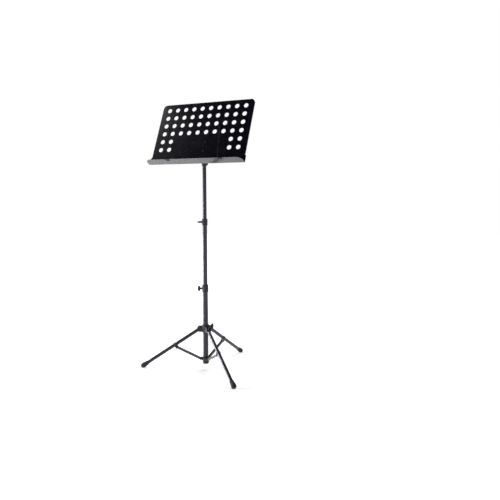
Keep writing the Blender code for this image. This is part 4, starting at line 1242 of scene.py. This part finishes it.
def panel_shape():
    """The panel's outer face with its holes, and the rim that turns back round a small fold."""
    desk = sizes("desk")
    pole = sizes("pole")
    fold = desk.fold_radius
    low = desk.sheet + 2 * pole.play
    border = panel_border(fold)
    half = desk.panel_width / 2 - fold
    shape = bmesh.new()
    verts, edges = ring_edges(shape, border + [(-half, low), (half, low)])
    for across, up in perforation():
        edges += ring_edges(shape, arc((across, up), desk.hole_radius, 0, 348.75, 31))[1]
    small = sizes("tripod").pin_radius + pole.gap
    for across, up in rivet_places():
        edges += ring_edges(shape, arc((across, up + desk.bracket_up), small, 0, 345, 23))[1]
    bmesh.ops.triangle_fill(shape, use_beauty=True, use_dissolve=False, edges=edges, normal=(0, -1, 0))
    last = verts[: len(border)]
    levels = [(fold * (1 - math.sin(t)), fold * (1 - math.cos(t))) for t in (0.3927, 0.7854, 1.1781, 1.5708)]
    for inset, depth in levels + [(0, desk.panel_rim)]:
        ring = [shape.verts.new((x, depth, z)) for x, z in panel_border(max(0, inset))]
        for index in range(len(ring) - 1):
            shape.faces.new((last[index], last[index + 1], ring[index + 1], ring[index]))
        last = ring
    bmesh.ops.recalc_face_normals(shape, faces=shape.faces)
    if max(shape.faces, key=lambda face: face.calc_area()).normal.y > 0:
        bmesh.ops.reverse_faces(shape, faces=shape.faces)
    return shape


def sheet_mesh(shape, thickness, fold=0.0):
    """A sheet thickened behind its outer faces, with its folds rounded first."""
    obj = helper_object(shape)
    if fold:
        bend = obj.modifiers.new("fold", "BEVEL")
        bend.width = fold
        bend.segments = 5
        bend.limit_method = "ANGLE"
        bend.angle_limit = math.radians(40)
    solidify = obj.modifiers.new("sheet", "SOLIDIFY")
    solidify.thickness = thickness
    solidify.offset = -1
    solidify.use_even_offset = True
    return settle(obj)


def desk_panel():
    """The perforated panel of the desk."""
    desk = sizes("desk")
    mesh = sheet_mesh(panel_shape(), desk.sheet)
    finished("desk_panel", "desk", powder_coat(), mesh, desk_place(), 0.0002, 50)


def tray_rise():
    """How far the tray's shelf rises toward its front, from square to the panel."""
    panel_up = desk_place().to_3x3() @ Vector((0, 0, 1))
    return panel_up.angle(SHELF_NORMAL)


def music_tray():
    """The folded ledge: a flange behind the panel and a shelf with rounded front corners."""
    desk = sizes("desk")
    pole = sizes("pole")
    rise = tray_rise()
    half = desk.panel_width / 2 + desk.tray_overhang
    back = desk.sheet + pole.gap + desk.sheet
    reach = desk.tray_depth - desk.tray_corner
    bend = -back * math.tan(rise)
    shape = bmesh.new()
    left = shape.verts.new((-half, back, bend))
    right = shape.verts.new((half, back, bend))
    top = desk.tray_flange
    chamfer = desk.tray_overhang
    flange = [(half, top - chamfer), (half - chamfer, top), (-half + chamfer, top), (-half, top - chamfer)]
    shape.faces.new([left, right] + [shape.verts.new((x, back, z)) for x, z in flange])
    front = arc((half - desk.tray_corner, reach), desk.tray_corner, 0, 90, 20)
    front += arc((-half + desk.tray_corner, reach), desk.tray_corner, 90, 180, 20)
    shelf = [(x, -out * math.cos(rise), out * math.sin(rise)) for x, out in reversed(front)]
    shape.faces.new([right, left] + [shape.verts.new(point) for point in shelf])
    bmesh.ops.recalc_face_normals(shape, faces=shape.faces)
    if max(shape.faces, key=lambda face: face.calc_center_median().y).normal.y < 0:
        bmesh.ops.reverse_faces(shape, faces=shape.faces)
    mesh = sheet_mesh(shape, desk.sheet, desk.fold_radius)
    holes = []
    for side in ("left", "right"):
        way = desk_place().inverted() @ arm_place(side)
        holes.append(rod(desk.wire_radius + pole.gap, -desk.sheet, 2 * desk.sheet, SMALL_ROUND, way))
    folded = bmesh.new()
    folded.from_mesh(mesh)
    bpy.data.meshes.remove(mesh)
    mesh = carved(folded, cut=holes)
    finished("music_tray", "desk", powder_coat(), mesh, desk_place(), 0.00022, 50)


def arm_place(side):
    """A page arm's pivot on the tray's underside, with Z up out of the shelf."""
    place = joint_at(f"{side}_page_arm_swing")
    return Matrix.Translation(place) @ Matrix.Rotation(-DESK_TILT - tray_rise(), 4, "X")


def smooth_path(points, radius, steps):
    """A bent wire's path: straight runs joined by bends of about the given radius."""
    path = [points[0]]
    for before, corner, after in zip(points, points[1:], points[2:]):
        back = (before - corner).normalized()
        ahead = (after - corner).normalized()
        limit = min((before - corner).length, (after - corner).length) / 2.1
        trim = min(radius / math.tan(back.angle(ahead) / 2), limit)
        first = corner + back * trim
        last = corner + ahead * trim
        for step in range(steps + 1):
            t = step / steps
            path.append(first * (1 - t) ** 2 + corner * (2 * t * (1 - t)) + last * t**2)
    path.append(points[-1])
    return path


def arm_corners():
    """A page arm's corners from its pivot: X across, -Y out from the panel, Z up from the underside."""
    desk = sizes("desk")
    play = sizes("pole").play
    wire = desk.wire_radius
    drop = -(wire + 2 * play)
    reach = (desk.arm_from_edge + 2 * wire + 2 * play) / math.cos(desk.arm_turn)
    edge_x = -reach * math.sin(desk.arm_turn)
    edge_y = -reach * math.cos(desk.arm_turn)
    to_panel = desk.tray_depth - desk.arm_from_edge - 2 * wire - play
    lean_y = to_panel - desk.arm_height * math.tan(tray_rise())
    return [
        Vector((0, 0, desk.sheet + 4 * play)),
        Vector((0, 0, drop)),
        Vector((edge_x, edge_y, drop)),
        Vector((edge_x, edge_y, desk.arm_lean_start)),
        Vector((edge_x - desk.arm_lean, lean_y, desk.arm_height)),
    ]


def page_arm(side):
    """A sprung wire arm, the push-on cap over its pivot end and the soft tip on its upper end."""
    pole = sizes("pole")
    desk = sizes("desk")
    body = f"{side}_page_arm"
    place = arm_place(side)
    corners = arm_corners()
    wire = swept(smooth_path(corners, 3 * desk.wire_radius, 10), desk.wire_radius)
    finished(body, body, blackened(), wire, place)
    bottom = desk.sheet + pole.gap
    top = corners[0].z + 3 * pole.play
    bore = desk.wire_radius + pole.gap
    seat = corners[0].z + pole.gap
    profile = [(0, seat), (bore, seat), (bore, bottom), (desk.arm_cap_radius, bottom)]
    profile += [(desk.arm_cap_radius, bottom + pole.play), (desk.arm_cap_radius / 2, top), (0, top)]
    cap = turned(rounded(profile, SOFT_EDGE), 40)
    finished(f"{side}_page_arm_cap", body, plastic(), cap, place)
    skin = bore + 2 * pole.play
    sleeve = 4 * desk.wire_radius
    profile = [(0, pole.gap), (bore, pole.gap), (bore, -sleeve)]
    profile += [(skin - THIN_EDGE, -sleeve), (skin, -sleeve + THIN_EDGE)]
    profile += arc((0, pole.gap), skin, 0, 80, 10) + [(0, pole.gap + skin)]
    way = (corners[-1] - corners[-2]).to_track_quat("Z", "Y").to_matrix().to_4x4()
    tip_place = place @ Matrix.Translation(corners[-1]) @ way
    finished(f"{side}_page_arm_tip", body, rubber(), turned(profile, 32), tip_place)


# The stage.


def make_floor_material(name):
    """A smooth pale floor with the faintest mottling."""
    look = sizes("finishes")
    stage = sizes("stage")
    floor = Shader(name, IOR=1.35, Emission_Strength=1)
    distance = floor.node("ShaderNodeVectorMath", {"operation": "LENGTH"}, {0: floor.place()}, 1)
    reach = {"Value": distance, "From Min": 0.9, "From Max": 2.6}
    away = floor.node("ShaderNodeMapRange", {"interpolation_type": "SMOOTHSTEP"}, reach)
    near = tuple(part * stage.floor_glow for part in look.floor)
    far = tuple(part * stage.far_glow for part in look.floor)
    mottle = floor.noise(0.15, 3.0)
    pale = tuple(min(1, part * 1.02) for part in look.floor)
    return floor.set(
        Base_Color=floor.blend(mottle, look.floor, pale),
        Emission_Color=floor.blend(away, near, far),
        Roughness=0.14 + mottle * 0.06,
    )


def make_world(stage):
    """White studio walls round the stage, which fall off to a dim ceiling; the view itself sees white."""
    world = bpy.data.worlds.new("studio")
    bpy.context.scene.world = world
    world.use_nodes = True
    tree = world.node_tree
    tree.nodes.clear()
    direction = tree.nodes.new("ShaderNodeTexCoord")
    split = tree.nodes.new("ShaderNodeSeparateXYZ")
    fall = tree.nodes.new("ShaderNodeMapRange")
    fall.interpolation_type = "SMOOTHSTEP"
    fall.inputs["From Min"].default_value = 0.02
    fall.inputs["From Max"].default_value = 0.30
    fall.inputs["To Min"].default_value = stage.world_low
    fall.inputs["To Max"].default_value = stage.world_high
    dim = tree.nodes.new("ShaderNodeBackground")
    dim.inputs["Color"].default_value = (0.97, 0.97, 1.0, 1)
    white = tree.nodes.new("ShaderNodeBackground")
    white.inputs["Color"].default_value = (1, 1, 1, 1)
    path = tree.nodes.new("ShaderNodeLightPath")
    mix = tree.nodes.new("ShaderNodeMixShader")
    output = tree.nodes.new("ShaderNodeOutputWorld")
    tree.links.new(direction.outputs["Generated"], split.inputs["Vector"])
    tree.links.new(split.outputs["Z"], fall.inputs["Value"])
    tree.links.new(fall.outputs["Result"], dim.inputs["Strength"])
    tree.links.new(path.outputs["Is Camera Ray"], mix.inputs["Fac"])
    tree.links.new(dim.outputs["Background"], mix.inputs[1])
    tree.links.new(white.outputs["Background"], mix.inputs[2])
    tree.links.new(mix.outputs["Shader"], output.inputs["Surface"])


def softbox(name, place, target, size, power, tint=(1, 1, 1)):
    light = bpy.data.lights.new(name, "AREA")
    light.shape = "RECTANGLE"
    light.size, light.size_y = size
    light.energy = power
    light.color = tint
    obj = bpy.data.objects.new(name, light)
    bpy.context.scene.collection.objects.link(obj)
    obj.location = place
    obj.rotation_euler = (Vector(target) - Vector(place)).to_track_quat("-Z", "Y").to_euler()


def studio_floor(stage):
    shape = bmesh.new()
    bmesh.ops.create_circle(shape, cap_ends=True, radius=stage.floor_radius, segments=stage.floor_facets)
    mesh = bpy.data.meshes.new("studio_floor")
    shape.to_mesh(mesh)
    shape.free()
    mesh.materials.append(made_once("studio_floor", make_floor_material))
    floor = bpy.data.objects.new("studio_floor", mesh)
    bpy.context.scene.collection.objects.link(floor)
    floor.location = (0, 0, CAD_BOX[0][2] - sizes("pole").gap / 3)


def studio_camera(stage):
    side = stage.camera_side
    place = Vector((AXIS.x, AXIS.y, 0))
    place += Vector((stage.camera_distance * math.sin(side), -stage.camera_distance * math.cos(side), 0))
    place.z = stage.camera_height
    camera = bpy.data.cameras.new("camera")
    camera.lens = stage.camera_lens
    camera.sensor_width = 36
    obj = bpy.data.objects.new("camera", camera)
    bpy.context.scene.collection.objects.link(obj)
    obj.location = place
    obj.rotation_euler = (math.pi / 2 - stage.camera_dip, 0, stage.camera_turn)
    bpy.context.scene.camera = obj


# Operators, in the order that main() calls them.


class MUSICSTAND_OT_stage(bpy.types.Operator):
    """Make the floor, the soft studio light and the camera"""

    bl_idname = "music_stand.stage"
    bl_label = "Stage"

    def execute(self, context):
        stage = sizes("stage")
        context.scene.view_settings.view_transform = "Standard"
        studio_floor(stage)
        make_world(stage)
        studio_camera(stage)
        softbox("back_softbox", (-0.3, 2.9, 3.4), (0, 0, 0.6), (2.4, 2.4), stage.back_power)
        violet = (0.96, 0.93, 1)
        pale_violet = (0.97, 0.96, 1)
        cool = (0.93, 0.95, 1)
        softbox("key_softbox", (-2.3, -0.8, 0.6), (0, -0.1, 0.6), (0.9, 1.2), stage.key_power, violet)
        softbox("side_softbox", (-2.2, -0.7, 2.6), (0, -0.1, 1.1), (1.4, 1.4), stage.side_power, pale_violet)
        softbox("fill_softbox", (2.4, -0.2, 0.8), (0, 0, 0.6), (1.2, 1.6), stage.fill_power, cool)
        return {"FINISHED"}


class MUSICSTAND_OT_pole(bpy.types.Operator):
    """Make the three tubes of the pole and the plugs in their lower ends"""

    bl_idname = "music_stand.pole"
    bl_label = "Pole tubes"

    def execute(self, context):
        tube("lower_tube", "lower_pole", LOWER_RADIUS, "lower_clamp_knob_turn")
        tube("middle_tube", "middle_pole", MIDDLE_RADIUS, "upper_clamp_knob_turn")
        tube("top_tube", "top_pole", TOP_RADIUS)
        tube_plug("middle_tube_plug", "middle_pole", MIDDLE_RADIUS)
        tube_plug("top_tube_plug", "top_pole", TOP_RADIUS)
        return {"FINISHED"}


class MUSICSTAND_OT_clamps(bpy.types.Operator):
    """Make the two height clamps with their screws and wing knobs"""

    bl_idname = "music_stand.clamps"
    bl_label = "Height clamps"

    def execute(self, context):
        clamp("lower", "lower_pole", LOWER_RADIUS, MIDDLE_RADIUS, 0)
        clamp("upper", "middle_pole", MIDDLE_RADIUS, TOP_RADIUS, math.radians(90))
        return {"FINISHED"}


class MUSICSTAND_OT_base_cap(bpy.types.Operator):
    """Make the cap under the pole"""

    bl_idname = "music_stand.base_cap"
    bl_label = "Base cap"

    def execute(self, context):
        base_cap()
        return {"FINISHED"}


class MUSICSTAND_OT_hub(bpy.types.Operator):
    """Make the sliding leg hub with its screw and wing knob"""

    bl_idname = "music_stand.hub"
    bl_label = "Leg hub"

    def execute(self, context):
        leg_hub()
        return {"FINISHED"}


class MUSICSTAND_OT_legs(bpy.types.Operator):
    """Make the three legs with their feet, saddles and pins"""

    bl_idname = "music_stand.legs"
    bl_label = "Legs"

    def execute(self, context):
        for side in SIDES:
            leg(side)
        return {"FINISHED"}


class MUSICSTAND_OT_struts(bpy.types.Operator):
    """Make the three channel struts and their lower pins"""

    bl_idname = "music_stand.struts"
    bl_label = "Struts"

    def execute(self, context):
        for side in SIDES:
            strut(side)
        return {"FINISHED"}


class MUSICSTAND_OT_head(bpy.types.Operator):
    """Make the head's socket with its screw and wing knob"""

    bl_idname = "music_stand.head"
    bl_label = "Head"

    def execute(self, context):
        head_socket()
        return {"FINISHED"}


class MUSICSTAND_OT_tilt(bpy.types.Operator):
    """Make the tilt bolt, its washer and its wing knob"""

    bl_idname = "music_stand.tilt"
    bl_label = "Tilt bolt"

    def execute(self, context):
        tilt_bolt()
        return {"FINISHED"}


class MUSICSTAND_OT_bracket(bpy.types.Operator):
    """Make the desk's bracket and the four rivets that hold the panel"""

    bl_idname = "music_stand.bracket"
    bl_label = "Desk bracket"

    def execute(self, context):
        desk_bracket()
        return {"FINISHED"}


class MUSICSTAND_OT_panel(bpy.types.Operator):
    """Make the perforated panel"""

    bl_idname = "music_stand.panel"
    bl_label = "Desk panel"

    def execute(self, context):
        desk_panel()
        return {"FINISHED"}


class MUSICSTAND_OT_tray(bpy.types.Operator):
    """Make the tray along the desk's foot"""

    bl_idname = "music_stand.tray"
    bl_label = "Music tray"

    def execute(self, context):
        music_tray()
        return {"FINISHED"}


class MUSICSTAND_OT_page_arms(bpy.types.Operator):
    """Make the two page arms with their caps and tips"""

    bl_idname = "music_stand.page_arms"
    bl_label = "Page arms"

    def execute(self, context):
        for side in ("left", "right"):
            page_arm(side)
        return {"FINISHED"}


OPERATORS = (
    MUSICSTAND_OT_stage,
    MUSICSTAND_OT_pole,
    MUSICSTAND_OT_clamps,
    MUSICSTAND_OT_base_cap,
    MUSICSTAND_OT_hub,
    MUSICSTAND_OT_legs,
    MUSICSTAND_OT_struts,
    MUSICSTAND_OT_head,
    MUSICSTAND_OT_tilt,
    MUSICSTAND_OT_bracket,
    MUSICSTAND_OT_panel,
    MUSICSTAND_OT_tray,
    MUSICSTAND_OT_page_arms,
)

GROUPS = {
    "pole": PoleSizes,
    "knobs": KnobSizes,
    "tripod": TripodSizes,
    "desk": DeskSizes,
    "finishes": FinishColours,
    "stage": StageSettings,
}


class MUSICSTAND_PT_pieces(bpy.types.Panel):
    """The music stand's pieces"""

    bl_label = "Music stand"
    bl_idname = "MUSICSTAND_PT_pieces"
    bl_space_type = "VIEW_3D"
    bl_region_type = "UI"
    bl_category = "Music stand"

    def draw(self, context):
        for operator in OPERATORS:
            self.layout.operator(operator.bl_idname)


def register():
    for group in GROUPS.values():
        bpy.utils.register_class(group)
    for name, group in GROUPS.items():
        setattr(bpy.types.Scene, f"music_stand_{name}", PointerProperty(type=group))
    for operator in OPERATORS:
        bpy.utils.register_class(operator)
    bpy.utils.register_class(MUSICSTAND_PT_pieces)


def unregister():
    bpy.utils.unregister_class(MUSICSTAND_PT_pieces)
    for operator in reversed(OPERATORS):
        bpy.utils.unregister_class(operator)
    for name in GROUPS:
        delattr(bpy.types.Scene, f"music_stand_{name}")
    for group in reversed(GROUPS.values()):
        bpy.utils.unregister_class(group)


def main():
    register()
    for operator in OPERATORS:
        group, name = operator.bl_idname.split(".")
        getattr(getattr(bpy.ops, group), name)()


if __name__ == "__main__":
    main()
